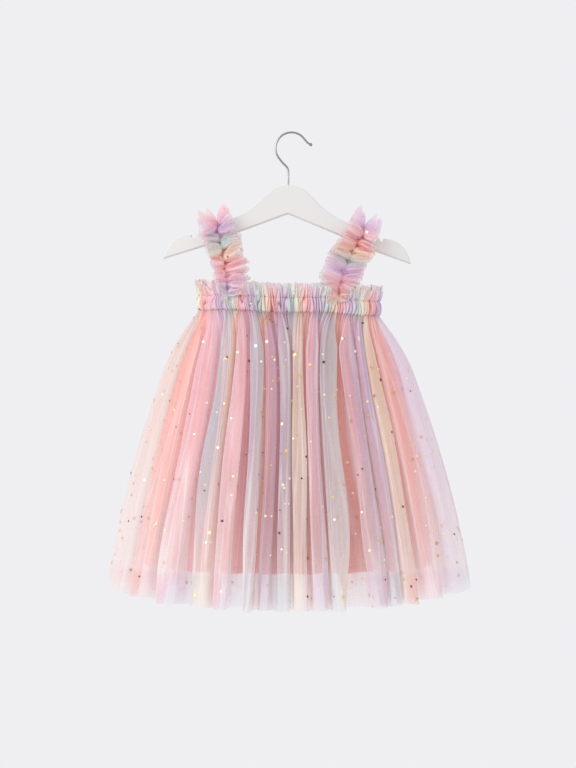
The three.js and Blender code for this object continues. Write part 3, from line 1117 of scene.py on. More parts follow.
@dataclass
class SkirtGrid:
    """Places on one half of the net: a column of levels by a row of places across.

    level is the share of the way down, q counts the folds from the left, and angle is the place round the
    oval of the half-width width and the depth depth. turn goes once round for each fold, inside falls to 0
    at the side seams, gap is how wide the valley opens, ridge is the fine gathers, and crimp the thin
    creases.
    """

    level: np.ndarray
    q: np.ndarray
    angle: np.ndarray
    width: np.ndarray
    depth: np.ndarray
    turn: np.ndarray
    inside: np.ndarray
    gap: np.ndarray
    ridge: np.ndarray
    crimp: np.ndarray

    @property
    def across(self) -> np.ndarray:
        """Returns the share of the half-width at each place."""
        return np.clip(-np.cos(self.angle), -1, 1)


@dataclass
class NetSkirt:
    """Outer net of one half of the skirt, in long laps that start from fine gathers.

    Shares are of the way down, of the half-width or of a fold's pitch. The ripples are what is uneven: where
    the gathers go, how far folds lap, the soft streaks, the hem, and where the thin creases lie and show.
    """

    side: Side
    folds: tuple[Fold, ...]
    material: bpy.types.Material
    hem_z: tuple[float, float] = (-535.6, -562.0)
    columns_each: int = 40
    rows: int = 104
    waist_crowding: float = 1.15
    spread_down: float = 0.09
    sway_share: float = 0.008
    seam_share: float = 0.75
    roundness: float = 1.4
    lap_share: float = 0.17
    crest_share: float = 0.15
    gap_share: float = 0.19
    laps_down: float = 0.12
    gather_depth: float = 1.5
    gather_reach: float = 0.06
    gather_drift: float = 0.012
    crimp_depth: float = 0.7
    crimp_width: float = 0.16
    hem_ragged: float = 1.2
    hem_lift: float = 0.09
    hem_thinning: float = 0.52
    hem_thin_from: float = 0.955
    cover_waist: float = 0.64
    cover_hem: float = 0.57
    cover_gathers: float = 0.22
    veil_shares: tuple[float, float] = (0.27, 0.09)
    band_stripe_reach: float = 0.035
    lining_hem_z: float = -517.0
    turned_from: float = 0.62
    fold_cloth: float = 45.0
    flat_size: tuple[float, float] = (0.72, 0.352)
    gather_ripple: Ripple = Ripple(5, (0.2, 0.7), (0.4, 0.9), 4)
    lap_ripple: Ripple = Ripple(13, (0.2, 0.6), (0.5, 1.6), 4)
    streak_ripple: Ripple = Ripple(11, (1.2, 4.5), (0.2, 0.8), 9)
    hem_ripple: Ripple = Ripple(7, (0.3, 1.4), (0.1, 0.2), 5)
    crimp_ripple: Ripple = Ripple(19, (0.6, 1.9), (0.1, 0.5), 7)
    crimp_strength: Ripple = Ripple(20, (0.5, 1.4), (0.6, 1.8), 5)
    sheet: Sheet | None = None

    def of_folds(self, name: str, q: np.ndarray) -> np.ndarray:
        """Returns a column of the folds' table at places across, along straight lines between crests."""
        return np.interp(q, np.arange(len(self.folds)) + 0.5, [getattr(fold, name) for fold in self.folds])

    def angles(self, level: np.ndarray, q: np.ndarray) -> np.ndarray:
        """Gives the angle of each place, between crests that spread from the waist to the hem.

        Args:
            level: shares of the way down, as a column.
            q: places across, one for each fold, as a row.

        Returns:
            Angles from 0 to pi.
        """
        count = len(self.folds)
        waist = np.array([fold.waist for fold in self.folds])
        hem = np.array([fold.hem for fold in self.folds])
        sway = Ripple(31 + count, (0.3, 0.9), (0.4, 1.1), 3).at(np.arange(count)[None, :], level)
        spread = 1 - np.exp(-level / self.spread_down)
        across = waist + (hem - waist) * spread + self.sway_share * sway * level
        left = np.zeros_like(level)
        knots = np.hstack([left, np.arccos(np.clip(-across, -1, 1)), left + np.pi])
        places = [0, *(np.arange(count) + 0.5), count]
        return np.stack([np.interp(q[0], places, row) for row in knots])

    def crimps(self, level: np.ndarray, q: np.ndarray) -> np.ndarray:
        """Gives the long thin creases along which the net is doubled over itself.

        Args:
            level: shares of the way down, as a column.
            q: places across, one for each fold, as a row.

        Returns:
            1 on a crease and 0 away from it.
        """
        strength = 0.5 + 0.5 * self.crimp_strength.at(q, level)
        lines = hump(self.crimp_ripple.at(q, level), self.crimp_width)
        return lines * np.clip(strength, 0, 1) * ramp(level, 0.02, 0.12)

    def grid(self) -> SkirtGrid:
        """Lays out the places that all else is worked out at.

        Returns:
            The places.
        """
        count = len(self.folds)
        level = np.linspace(0, 1, self.rows)[:, None] ** self.waist_crowding
        q = np.linspace(0, count, count * self.columns_each + 1)[None, :]
        angle = self.angles(level, q)
        drift = self.gather_drift * self.gather_ripple.at(q, level)
        return SkirtGrid(
            level=level,
            q=q,
            angle=angle,
            width=smooth_read(SKIRT_SECTIONS, "down", "width", level),
            depth=smooth_read(SKIRT_SECTIONS, "down", self.side.value, level),
            turn=2 * np.pi * (q - 0.5),
            inside=np.clip(np.minimum(q, count - q) / self.seam_share, 0, 1),
            gap=self.of_folds("gap", q - 0.5),
            ridge=gather_ridge(drift - np.cos(angle[:1]), 0.0),
            crimp=self.crimps(level, q),
        )

    def offsets(self, grid: SkirtGrid) -> np.ndarray:
        """Gives how far the net stands out of its oval, in folds, gathers, streaks and creases.

        Args:
            grid: the places.

        Returns:
            Millimetres at each place.
        """
        fold = smooth_read(SKIRT_SECTIONS, "down", "fold", grid.level)
        crest = np.tanh(self.roundness * np.cos(grid.turn)) / math.tanh(self.roundness)
        short = np.exp(-grid.level / self.gather_reach)
        long = np.exp(-grid.level / (5 * self.gather_reach))
        gathers = self.gather_depth * (0.75 * short + 0.25 * long) * grid.ridge
        streaks = self.streak_ripple.at(grid.q, grid.level) * (0.3 + 0.8 * grid.level)
        fine = gathers + streaks + self.crimp_depth * grid.crimp
        return (fold * self.of_folds("depth", grid.q) * crest + fine) * grid.inside

    def shifts(self, grid: SkirtGrid) -> np.ndarray:
        """Gives how far the net moves along its oval, so that folds lap over and valleys open.

        Args:
            grid: the places.

        Returns:
            Millimetres at each place.
        """
        straightened = 1 - 0.55 * ramp(grid.level, 0.7, 1.0) ** 2
        uneven = 1 + 0.45 * self.lap_ripple.at(grid.q, grid.level)
        lap = self.of_folds("lap", grid.q) * straightened * uneven
        spread = self.crest_share - self.gap_share * grid.gap * (0.35 + 1.3 * grid.level)
        across_mm = np.hypot(grid.width * np.sin(grid.angle), grid.depth * np.cos(grid.angle))
        pitch = np.gradient(grid.angle, axis=1) * self.columns_each * across_mm
        grown = ramp(grid.level, 0.0, self.laps_down) * grid.inside
        return pitch * grown * (self.lap_share * lap * np.sin(2 * grid.turn) + spread * np.sin(grid.turn))

    def place(self, grid: SkirtGrid) -> np.ndarray:
        """Gives the points of the net.

        Args:
            grid: the places.

        Returns:
            Points in millimetres.
        """
        offset = self.offsets(grid)
        shift = self.side.facing * self.shifts(grid)
        x, y = oval(self.side, grid.angle, grid.width, grid.depth, offset)
        along_x = grid.width * np.sin(grid.angle)
        along_y = -grid.depth * np.cos(grid.angle)
        size = np.hypot(along_x, along_y)
        x = x + shift * along_x / size
        y = y + shift * along_y / size
        ragged = self.hem_ragged * self.hem_ripple.at(grid.q, grid.level) * grid.level ** 6
        lifted = self.hem_lift * offset * grid.level ** 2
        z = cloth_height(x, grid.across, grid.level, self.hem_z) + ragged + lifted
        return np.stack([x, y, z], axis=-1)

    def stripes(self, grid: SkirtGrid) -> np.ndarray:
        """Gives the stripe at each place, which in front is the band's at the waist.

        Args:
            grid: the places.

        Returns:
            Places in the repeats of the stripes.
        """
        own = [fold.stripe for fold in self.folds]
        left = 1.5 * own[0] - 0.5 * own[1]
        right = 1.5 * own[-1] - 0.5 * own[-2]
        places = [0, *(np.arange(len(own)) + 0.5), len(own)]
        stripe = np.interp(grid.q, places, [left, *own, right])
        if self.side is Side.FRONT:
            of_band = read_table(BAND_STRIPES, "across", "stripe", grid.across)
            stripe = stripe + (of_band - stripe) * hump(grid.level, self.band_stripe_reach)
        return stripe + 0.1 * ramp(grid.level, 0.75, 0.95)

    def cover(self, grid: SkirtGrid, facing_out: np.ndarray) -> np.ndarray:
        """Gives how much of the surface the threads take up.

        Args:
            grid: the places.
            facing_out: how squarely the net faces out, from 0 to 1.

        Returns:
            Shares: more where the net turns inward or is gathered or doubled, less at its edges and gaps.
        """
        level = grid.level
        plain = self.cover_waist + (self.cover_hem - self.cover_waist) * level ** 0.7
        plain = plain + self.cover_gathers * np.exp(-level / self.gather_reach)
        slanted = 1 - (1 - plain) ** (1 / np.clip(facing_out, 0.4, 1))
        veil = np.where(grid.across < 0, *self.veil_shares)
        edge = 0.4 + 0.6 * np.clip((1 - np.abs(grid.across)) / veil, 0, 1)
        valley = 0.5 - 0.5 * np.cos(grid.turn)
        opened = 1 - 0.45 * grid.gap * valley
        hem = 1 - self.hem_thinning * ramp(level, self.hem_thin_from, 1.0) ** 1.3
        return slanted * edge * opened * (1 + 0.3 * grid.crimp) * hem

    def crease_shades(self, grid: SkirtGrid) -> np.ndarray:
        """Gives the painted shade in the net's creases and hollows.

        Args:
            grid: the places.

        Returns:
            Shares of painted shade: along the waist seam, in the band's shadow under it, between gathers, and
                on folds
            that lie deep.
        """
        # All of these are painted shade: the seam, the band's shadow, the gathers' valleys and the deep
        # folds.
        seam = 0.4 * np.exp(-grid.level / 0.012)
        under_band_shadow = 0.26 * np.exp(-grid.level / 0.2) * (1 - grid.across ** 2)
        between = 1.2 * ramp(-grid.ridge, -0.4, 1.0) * np.exp(-grid.level / 0.1)
        sunk_shade_by_level = np.interp(grid.level, (0, 0.6, 1), (0.3, 0.72, 0.42))
        return seam + under_band_shadow + between + self.of_folds("sunk_shade", grid.q) * sunk_shade_by_level

    def paleness_and_highlights(self, grid: SkirtGrid, facing_out: np.ndarray, z: np.ndarray) -> np.ndarray:
        """Gives how pale the net is, in part from painted light.

        Args:
            grid: the places.
            facing_out: how squarely the net faces out, from 0 to 1.
            z: heights in millimetres.

        Returns:
            Shares: more towards the hem, a painted brightening, but for the part below the lining; more on
                the thin creases, where the net lies doubled and carries a painted highlight; and more on
                folds' sides, a painted glow of light through the net.
        """
        hem_brightening = 0.6 * ramp(grid.level, 0.28, 0.88) ** 1.2
        below_lining = ramp(-z, -self.lining_hem_z, 6 - self.lining_hem_z)
        # turned paints light glowing through the net on folds' sides that turn away from the front.
        turned = ramp(-facing_out, -self.turned_from, 0.0)
        return 0.03 + hem_brightening * (1 - 0.65 * below_lining) + 0.45 * grid.crimp + 0.6 * turned

    def build(self) -> bpy.types.Object:
        """Makes the skirt half.

        Returns:
            The piece.
        """
        grid = self.grid()
        points = self.place(grid)
        cloth = (grid.q * self.fold_cloth * MM, grid.level * self.flat_size[1])
        self.sheet = Sheet(points * MM, np.stack(np.broadcast_arrays(*cloth), axis=-1))
        outward = np.stack([np.cos(grid.angle) / grid.width, np.sin(grid.angle) / grid.depth], axis=-1)
        facing_out = np.abs((self.sheet.normals()[..., :2] * unit(outward)).sum(axis=-1))
        self.sheet.marks = {
            "stripe": self.stripes(grid),
            "cover": self.cover(grid, facing_out),
            "pinch": self.crease_shades(grid),
            "fade": self.paleness_and_highlights(grid, facing_out, points[..., 2]),
        }
        piece = self.sheet.make(f"net_skirt_{self.side.value}", self.material)
        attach(piece, "root")
        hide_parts(f"skirt_{self.side.value}")
        return piece


# Lining


@dataclass
class Lining:
    """Coral lining of one half, in a few soft folds, with a stitched hem."""

    side: Side
    material: bpy.types.Material
    thread: bpy.types.Material
    hem_z: tuple[float, float] = (-517.0, -523.0)
    folds: int = 8
    fold_share: float = 0.85
    seam_share: float = 0.06
    columns: int = 240
    rows: int = 90
    hem_rows: int = 22
    thickness: float = 0.7
    hem_height: float = 7.0
    hem_step: float = 0.35
    stitch_groove: float = 0.45
    stitches: int = 150
    stitch_share: float = 0.62
    thread_radius: float = 0.22
    thread_lift: float = 0.3
    flat_size: tuple[float, float] = (0.36, 0.31)
    sway_ripple: Ripple = Ripple(3, (0.8, 2.2), (0.2, 0.6), 4)
    small_ripple: Ripple = Ripple(17, (9, 26), (0.2, 0.9), 8)

    @property
    def length(self) -> float:
        """Returns the lining's length at the sides."""
        return WAIST_Z - self.hem_z[0]

    @property
    def hem_level(self) -> float:
        """Returns the share of the way down at which the hem is stitched."""
        return 1 - self.hem_height / self.length

    def place(self, level: np.ndarray, q: np.ndarray) -> np.ndarray:
        """Gives points of the lining.

        Args:
            level: shares of the way down, as a column.
            q: places across from 0 to 1, as a row.

        Returns:
            Points in millimetres.
        """
        width = smooth_read(LINING_SECTIONS, "down", "width", level)
        depth = smooth_read(LINING_SECTIONS, "down", self.side.value, level)
        fold = smooth_read(LINING_SECTIONS, "down", "fold", level)
        across = 2 * q - 1
        inside = np.clip(np.minimum(q, 1 - q) / self.seam_share, 0, 1)
        sway = 0.5 * self.sway_ripple.at(q, level)
        wave = self.fold_share * np.cos(2 * np.pi * self.folds * q + np.pi + sway)
        small = self.small_ripple.at(q, level) * (0.1 + 0.175 * level)
        x, y = oval(self.side, np.arccos(-across), width, depth, (fold * wave + small) * inside)
        return np.stack([x, y, cloth_height(x, across, level, self.hem_z)], axis=-1)

    def build(self) -> bpy.types.Object:
        """Makes the lining half, with its hem turned up inside.

        Returns:
            The piece.
        """
        hem_top = 1 - 1.6 * self.hem_height / self.length
        hem_levels = np.linspace(hem_top, 1, self.hem_rows)
        level = np.concatenate([np.linspace(0, hem_top, self.rows, endpoint=False), hem_levels])[:, None]
        q = np.linspace(0, 1, self.columns + 1)[None, :]
        cloth = (q * self.flat_size[0], level * self.flat_size[1])
        sheet = Sheet(self.place(level, q) * MM, np.stack(np.broadcast_arrays(*cloth), axis=-1))
        from_stitch = (level - self.hem_level) * self.length
        step = self.hem_step / (1 + np.exp(-from_stitch / self.hem_step))
        groove = self.stitch_groove * hump(from_stitch, 2 * self.hem_step)
        sheet.points = sheet.points + sheet.normals() * (step - groove)[..., None] * MM
        piece = sheet.make(f"coral_lining_{self.side.value}", self.material, self.thickness)
        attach(piece, "root")
        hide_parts(f"lining_{self.side.value}")
        return piece

    def stitch(self) -> bpy.types.Object:
        """Sews the hem.

        Returns:
            All its stitches as one piece.
        """
        ends = np.linspace(0.01, 0.99, self.stitches + 1)
        level = np.array([[self.hem_level]])
        starts = self.place(level, ends[None, :-1])[0]
        stops = self.place(level, (ends[:-1] + self.stitch_share * np.diff(ends))[None, :])[0]
        out = np.array([0, -self.side.facing * self.thread_lift, 0])
        points, faces = thread_runs(starts + out, stops + out, self.thread_radius)
        piece = mesh_object(f"hem_stitches_{self.side.value}", points * MM, faces, self.thread)
        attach(piece, "root")
        return piece


@dataclass(frozen=True)
class StitchRing:
    """A ring of points round a stitch, at a share of its length, with its share of the thread's radius."""

    share: float
    swell: float


STITCH_RINGS = (StitchRing(0.0, 0.35), StitchRing(0.2, 1.0), StitchRing(0.8, 1.0), StitchRing(1.0, 0.35))
STITCH_SIDES = 6


def thread_runs(starts: np.ndarray, stops: np.ndarray, radius: float) -> tuple[np.ndarray, np.ndarray]:
    """Makes short closed stitches between pairs of points.

    Args:
        starts: one end of each.
        stops: the other.
        radius: of the thread.

    Returns:
        Points, and faces of four points.
    """
    along = unit(stops - starts)
    side = unit(np.cross(along, [0, 0, 1.0]))
    up = np.cross(side, along)
    rings = []
    for ring in STITCH_RINGS:
        centre = starts + (stops - starts) * ring.share
        for k in range(STITCH_SIDES):
            turn = 2 * math.pi * k / STITCH_SIDES
            rings.append(centre + radius * ring.swell * (side * math.cos(turn) + up * math.sin(turn)))
    points = np.stack(rings, axis=1).reshape(-1, 3)
    faces = []
    for start in range(0, len(rings) - STITCH_SIDES, STITCH_SIDES):
        for k in range(STITCH_SIDES):
            a, b = start + k, start + (k + 1) % STITCH_SIDES
            faces.append((a, b, b + STITCH_SIDES, a + STITCH_SIDES))
    last = len(rings) - STITCH_SIDES
    faces += [(3, 2, 1, 0), (5, 4, 3, 0)]
    faces += [(last, last + 1, last + 2, last + 3), (last, last + 3, last + 4, last + 5)]
    firsts = (np.arange(len(starts)) * len(rings))[:, None, None]
    return points, (np.array(faces)[None, :, :] + firsts).reshape(-1, 4)


# Band


@dataclass
class GatheredBand:
    """Gathered band of one half, with two pinched rows of elastic and a standing frill.

    The ripples are what is uneven: the size of the gathers, where the frill's flutes go, how it leans, its
    edge, and the height of the gather lines.
    """

    side: Side
    material: bpy.types.Material
    columns_each: int = 9
    rows: int = 62
    seam_gathers: float = 1.5
    gather_cloth: float = 9.0
    pleat_share: float = 1.9
    flute_share: float = 1.5
    flute_pitch: float = 2.3
    lean: float = 0.5
    frill_ragged: float = 1.1
    line_wander: float = 0.35
    back_rise: float = 7.5
    elastic_ups: tuple[float, float] = (FRILL_UP, 0.7)
    elastic_width: float = 0.5
    cover: float = 0.93
    frill_thinning: float = 0.42
    back_stripes: tuple[float, float] = (5.95, 0.2)
    flat_size: tuple[float, float] = (0.34, 0.034)
    size_ripple: Ripple = Ripple(9, (0.15, 0.4), (0.0, 0.01), 4)
    flute_ripple: Ripple = Ripple(23, (0.05, 0.2), (0.0, 0.02), 3)
    lean_ripple: Ripple = Ripple(25, (0.1, 0.3), (0.0, 0.01), 4)
    edge_ripple: Ripple = Ripple(27, (0.2, 0.7), (0.0, 0.01), 5)
    line_ripple: Ripple = Ripple(29, (0.1, 0.35), (0.0, 0.01), 4)
    sheet: Sheet | None = None

    def place(self, up: np.ndarray, q: np.ndarray, pleat: np.ndarray, frill: np.ndarray) -> np.ndarray:
        """Gives the points of the band.

        Args:
            up: heights above the waist seam, as a column.
            q: places across, one for each gather, as a row.
            pleat: the gathers' ridges.
            frill: 0 below the frill, rising to 1 at its edge.

        Returns:
            Points in millimetres.
        """
        width = smooth_read(BAND_SECTIONS, "up", "width", up)
        depth = smooth_read(BAND_SECTIONS, "up", "depth", up)
        gather = smooth_read(BAND_SECTIONS, "up", "gather", up)
        inside = np.clip(np.minimum(q, BAND_GATHERS - q) / self.seam_gathers, 0, 1)
        size = 0.8 + 0.25 * self.size_ripple.at(q, up)
        flute = np.sin(2 * np.pi * q / self.flute_pitch + 1.5 * self.flute_ripple.at(q, up))
        stand = self.pleat_share * pleat * (1 - 0.6 * frill) + self.flute_share * frill * flute
        lean = self.lean * frill * self.lean_ripple.at(q, up)
        angle = np.arccos(1 - 2 * q / BAND_GATHERS)
        x, y = oval(self.side, angle, width, depth, gather * size * stand * inside + lean)
        rise = self.back_rise if self.side is Side.BACK else 0.0
        ragged = self.frill_ragged * frill ** 3 * self.edge_ripple.at(q, up)
        wander = self.line_wander * self.line_ripple.at(q, up)
        z = WAIST_Z + up + rise * frill - droop_at(x) + ragged + wander
        return np.stack([x, y, z], axis=-1)

    def stripes(self, across: np.ndarray) -> np.ndarray:
        """Gives the stripe across the band, which runs on round the back.

        Args:
            across: shares of the half-width.

        Returns:
            Places in the repeats of the stripes.
        """
        if self.side is Side.FRONT:
            return read_table(BAND_STRIPES, "across", "stripe", across)
        return np.interp(across, (-1, 1), self.back_stripes)

    def build(self) -> bpy.types.Object:
        """Makes the band half.

        Returns:
            The piece.
        """
        up = np.linspace(BAND_TOP_UP, 0, self.rows)[:, None]
        q = np.linspace(0, BAND_GATHERS, BAND_GATHERS * self.columns_each + 1)[None, :]
        across = 2 * q / BAND_GATHERS - 1
        pleat = gather_ridge(across, up)
        frill = ramp(up, FRILL_UP, BAND_TOP_UP)
        # valley and elastic mark where the painted shade goes: in the gathers' valleys and along the elastic
        # rows.
        valley = ramp(-pleat, -0.45, 1.0) * (1 - 0.5 * frill)
        elastic = sum(hump(up - row, self.elastic_width) for row in self.elastic_ups)
        marks = {
            "stripe": self.stripes(across),
            "cover": self.cover - self.frill_thinning * frill ** 0.8,
            # The frill is paler for being a single sheer layer, and the gathers' crests get a painted
            # highlight.
            "fade": 0.04 + 0.3 * frill + 0.2 * np.clip(pleat, 0, 1) ** 2,
            # Painted shade in the gathers' valleys and at the elastic rows.
            "pinch": np.clip(elastic * (0.2 + 1.4 * valley) + 0.9 * valley, 0, 1.6),
        }
        cloth = (q * self.gather_cloth * MM, up * MM)
        points = self.place(up, q, pleat, frill)
        self.sheet = Sheet(points * MM, np.stack(np.broadcast_arrays(*cloth), axis=-1), marks)
        piece = self.sheet.make(f"gathered_band_{self.side.value}", self.material)
        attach(piece, "root")
        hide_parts(f"band_{self.side.value}")
        return piece


# Straps


@dataclass(frozen=True)
class StrapStation:
    """A place on one run of a strap, from its foot to its top.

    rise is the share of its height, away its distance from the mid plane, wing how wide each wing is, and
    lean the angle in degrees at which the wings lean out of the strap's plane.
    """

    rise: float
    away: float
    wing: float
    lean: float


STRAP_RUN = (
    StrapStation(0, 12, 11, 10),
    StrapStation(0.09, 12.5, 15, 14),
    StrapStation(0.2, 13, 24, 24),
    StrapStation(0.36, 12.6, 28, 29),
    StrapStation(0.6, 10.6, 28, 31),
    StrapStation(0.82, 8.4, 27, 34),
    StrapStation(0.925, 8, 26, 38),
    StrapStation(0.965, 6.9, 25, 44),
    StrapStation(0.99, 4.2, 24, 48),
    StrapStation(1, 0, 24, 48),
)


class Unevenness(Enum):
    """What varies along a strap, each with waves of its own.

    A value holds what is added to the strap's seed, the least and most waves along the strap, how many sines
    they come from, and how far apart the two wings are in them.
    """

    PACE = (0, (2, 6), 5, 3.7)
    SIZE = (1, (2, 7), 4, 2.3)
    EDGE = (2, (3, 7), 5, 1.9)
    CURVE = (3, (2, 5), 4, 2.9)
    SLANT = (4, (3, 8), 4, 3.1)
    FLUTE = (5, (3, 9), 5, 4.1)


@dataclass
class StrapPath:
    """Gathering line of a strap, from its back foot over the hanger to its front foot.

    line holds its points and along, across and away its directions, with an axis free for the strap's
    width. rise, wing and lean are what the stations give, as columns, and length is the line's length.
    """

    line: np.ndarray
    along: np.ndarray
    across: np.ndarray
    away: np.ndarray
    rise: np.ndarray
    wing: np.ndarray
    lean: np.ndarray
    length: float


@dataclass
class RuffleGrid:
    """Places on one layer of a strap: a column along it by a row across it.

    number is the layer's, place the share of the length, and v goes from -1 to 1 across the gathering line.
    pace is how many ruffles each wing has and turn goes once round for each of them. bulge is 0 in the
    creases between ruffles, and flute is the finer wave on them, which flute_turn counts.
    """

    number: int
    place: np.ndarray
    v: np.ndarray
    pace: np.ndarray
    turn: np.ndarray | None = None
    flute_turn: np.ndarray | None = None

    @property
    def spread(self) -> np.ndarray:
        """Returns the share of a wing's width between a place and the gathering line."""
        return np.abs(self.v)

    @property
    def bulge(self) -> np.ndarray:
        """Returns 1 on a ruffle and 0 in the crease beside it."""
        return np.abs(np.sin(self.turn / 2)) ** 0.7

    @property
    def flute(self) -> np.ndarray:
        """Returns the finer wave from -1 to 1, which starts off the gathering line."""
        return np.sin(self.flute_turn) * ramp(self.spread, 0.0, 0.22)


@dataclass
class RuffleStrap:
    """A strip of net folded and gathered along its middle, with fluted wings on both sides.

    top is where the strap lies on the hanger, as x and z, slope the hanger's there, and stripe_front the
    stripes from the top to the front foot. Pairs are for the left wing and the right one.
    """

    name: str
    node: str
    top: tuple[float, float]
    foot_x: float
    slope: float
    stripe_front: tuple[float, float]
    material: bpy.types.Material
    seed: int
    foot_z: float = -206.0
    bend: float = 1.7
    paces: tuple[float, float] = (1.0, 1.0)
    low_wings: tuple[float, float] = (1.0, 1.0)
    neck: float = 0.3
    neck_rise: float = 0.19
    ruffles: int = 14
    steps_each: int = 36
    columns: int = 41
    swing: float = 34.0
    lap_share: float = 0.14
    flute_lap: float = 0.028
    slant_share: float = 0.3
    lobe_share: float = 0.36
    flute_share: float = 0.62
    pattern_length: float = 420.0
    pattern_wing: float = 44.0
    band_clearance: float = 2.6
    flat_size: tuple[float, float] = (0.112, 0.34)
    sheet: Sheet | None = None

    def path(self, count: int) -> StrapPath:
        """Gives the gathering line.

        Args:
            count: how many places along it.

        Returns:
            The line with its directions and the stations' sizes.
        """
        stations = [(station, 1.0) for station in STRAP_RUN]
        stations += [(station, -1.0) for station in STRAP_RUN[-2::-1]]
        points = []
        for station, facing in stations:
            share = min(1, station.rise / 0.92) ** self.bend
            x = self.foot_x + (self.top[0] - self.foot_x) * share
            z = self.foot_z + (self.top[1] - self.foot_z) * station.rise
            points.append((x, facing * station.away, z))
        points = np.array(points)
        knots = np.concatenate([[0], np.cumsum(np.linalg.norm(np.diff(points, axis=0), axis=1))])
        places = np.linspace(0, knots[-1], count)
        line = smooth_curve(knots, points, places)
        rise, wing, lean = (
            np.interp(places, knots, [getattr(station, name) for station, _ in stations])
            for name in ("rise", "wing", "lean")
        )
        along = unit(np.gradient(line, axis=0))
        sloped = self.slope * np.minimum(1, rise / 0.9)
        across = unit(np.stack([np.ones(count), np.zeros(count), sloped], axis=1))
        away = unit(np.cross(along, across))
        directions = (array[:, None, :] for array in (line, along, across, away))
        return StrapPath(*directions, rise[:, None], wing[:, None], lean[:, None], knots[-1])

    def uneven(self, grid: RuffleGrid, what: Unevenness) -> np.ndarray:
        """Gives waves along the strap, others on each wing and layer.

        Args:
            grid: the places.
            what: what they are for.

        Returns:
            Values of about -1 to 1.
        """
        salt, waves, count, apart = what.value
        right_wing = np.where(grid.v < 0, 0.0, 1.0)
        ripple = Ripple(self.seed + 10 * grid.number + salt, (0.5, 1.5), waves, count)
        return ripple.at(right_wing * apart, grid.place)

    def grid(self, number: int) -> RuffleGrid:
        """Gives the places of one layer.

        Args:
            number: 0 for the outer layer and 1 for the one under it.

        Returns:
            The places, with the turns of their ruffles and flutes.
        """
        place = np.linspace(0, 1, self.ruffles * self.steps_each + 1)[:, None]
        v = np.linspace(-1, 1, self.columns)[None, :]
        pace = self.ruffles * np.where(v < 0, *self.paces) * (1 - 0.15 * number)
        grid = RuffleGrid(number, place, v, pace)
        wing_lag = np.where(v < 0, 0.0, 2.1)
        grid.turn = (
            2 * np.pi * pace * place + 1.2 * self.uneven(grid, Unevenness.PACE) + wing_lag + 2.6 * number
            + 1.1 * self.uneven(grid, Unevenness.CURVE) * grid.spread
        )
        grid.flute_turn = 2.4 * grid.turn + 2.2 * self.uneven(grid, Unevenness.FLUTE)
        return grid

    def reach(self, grid: RuffleGrid, path: StrapPath) -> np.ndarray:
        """Gives how far the net reaches out from the gathering line.

        Args:
            grid: the places.
            path: the gathering line.

        Returns:
            Millimetres at each place.
        """
        low = ramp(-path.rise, -0.78, -0.53)
        low_wing = 1 + (np.where(grid.v < 0, *self.low_wings) - 1) * low
        tied = 1 - self.neck * hump(path.rise - self.neck_rise, 0.06)
        crown = ramp(path.rise, 0.93, 0.97)
        lobe = 1 - self.lobe_share * (1 - 0.7 * crown) * (1 - grid.bulge) * grid.spread
        ragged = 1 + 0.1 * self.uneven(grid, Unevenness.EDGE)
        fluted = 1 + 0.06 * grid.flute * grid.spread
        return path.wing * low_wing * tied * (1 - 0.12 * grid.number) * grid.spread * ragged * lobe * fluted

    def lean(self, grid: RuffleGrid, path: StrapPath) -> np.ndarray:
        """Gives the angle at which a wing as a whole leans away from the strap's plane.

        Args:
            grid: the places.
            path: the gathering line.

        Returns:
            Angles in radians.
        """
        crown = ramp(path.rise, 0.93, 0.97)
        under = 1 - grid.number * (0.4 - 0.9 * crown)
        return np.radians(path.lean) * (1.25 - 0.35 * grid.spread) * under

    def tilt(self, grid: RuffleGrid, path: StrapPath) -> np.ndarray:
        """Gives the angle at which the net leans away from the strap's plane, ruffles and flutes included.

        Args:
            grid: the places.
            path: the gathering line.

        Returns:
            Angles in radians, none inward over the hanger.
        """
        size = 0.9 + 0.3 * self.uneven(grid, Unevenness.SIZE)
        fold = size * (grid.bulge - 0.65) + self.flute_share * grid.flute
        swung = np.radians(self.swing) * fold * grid.spread ** 0.35 * (1 - 0.3 * grid.number)
        tilt = self.lean(grid, path) + swung
        over_wood = ramp(path.rise, 0.72, 0.78)
        return np.where(tilt < 0, tilt * (1 - over_wood), tilt)

    def shift(self, grid: RuffleGrid, path: StrapPath) -> np.ndarray:
        """Gives how far the net is moved along the strap, so that ruffles lap and slant.

        Args:
            grid: the places.
            path: the gathering line.

        Returns:
            Millimetres at each place.
        """
        pitch = path.length / grid.pace
        laps = self.lap_share * np.sin(grid.turn) + self.flute_lap * np.sin(2 * grid.flute_turn)
        slants = self.slant_share * self.uneven(grid, Unevenness.SLANT) * grid.spread
        return pitch * (slants - laps * ramp(grid.spread, 0.0, 0.4))

    def place(self, grid: RuffleGrid, path: StrapPath) -> np.ndarray:
        """Gives the points of one layer.

        Args:
            grid: the places.
            path: the gathering line.

        Returns:
            Points in millimetres.
        """
        reach = self.reach(grid, path)
        tilt = self.tilt(grid, path)
        sideways = np.sign(grid.v) * reach * (0.45 * np.cos(tilt) + 0.55 * np.cos(self.lean(grid, path)))
        pleat = (1.7 * grid.bulge + 0.7 * grid.flute) * hump(grid.spread, 0.3) - 0.5 * grid.number
        points = (
            path.line
            + path.across * sideways[..., None]
            + path.away * (reach * np.sin(tilt) + pleat)[..., None]
            + path.along * self.shift(grid, path)[..., None]
        )
        return self.clear_of_band(points, grid.place < 0.5)

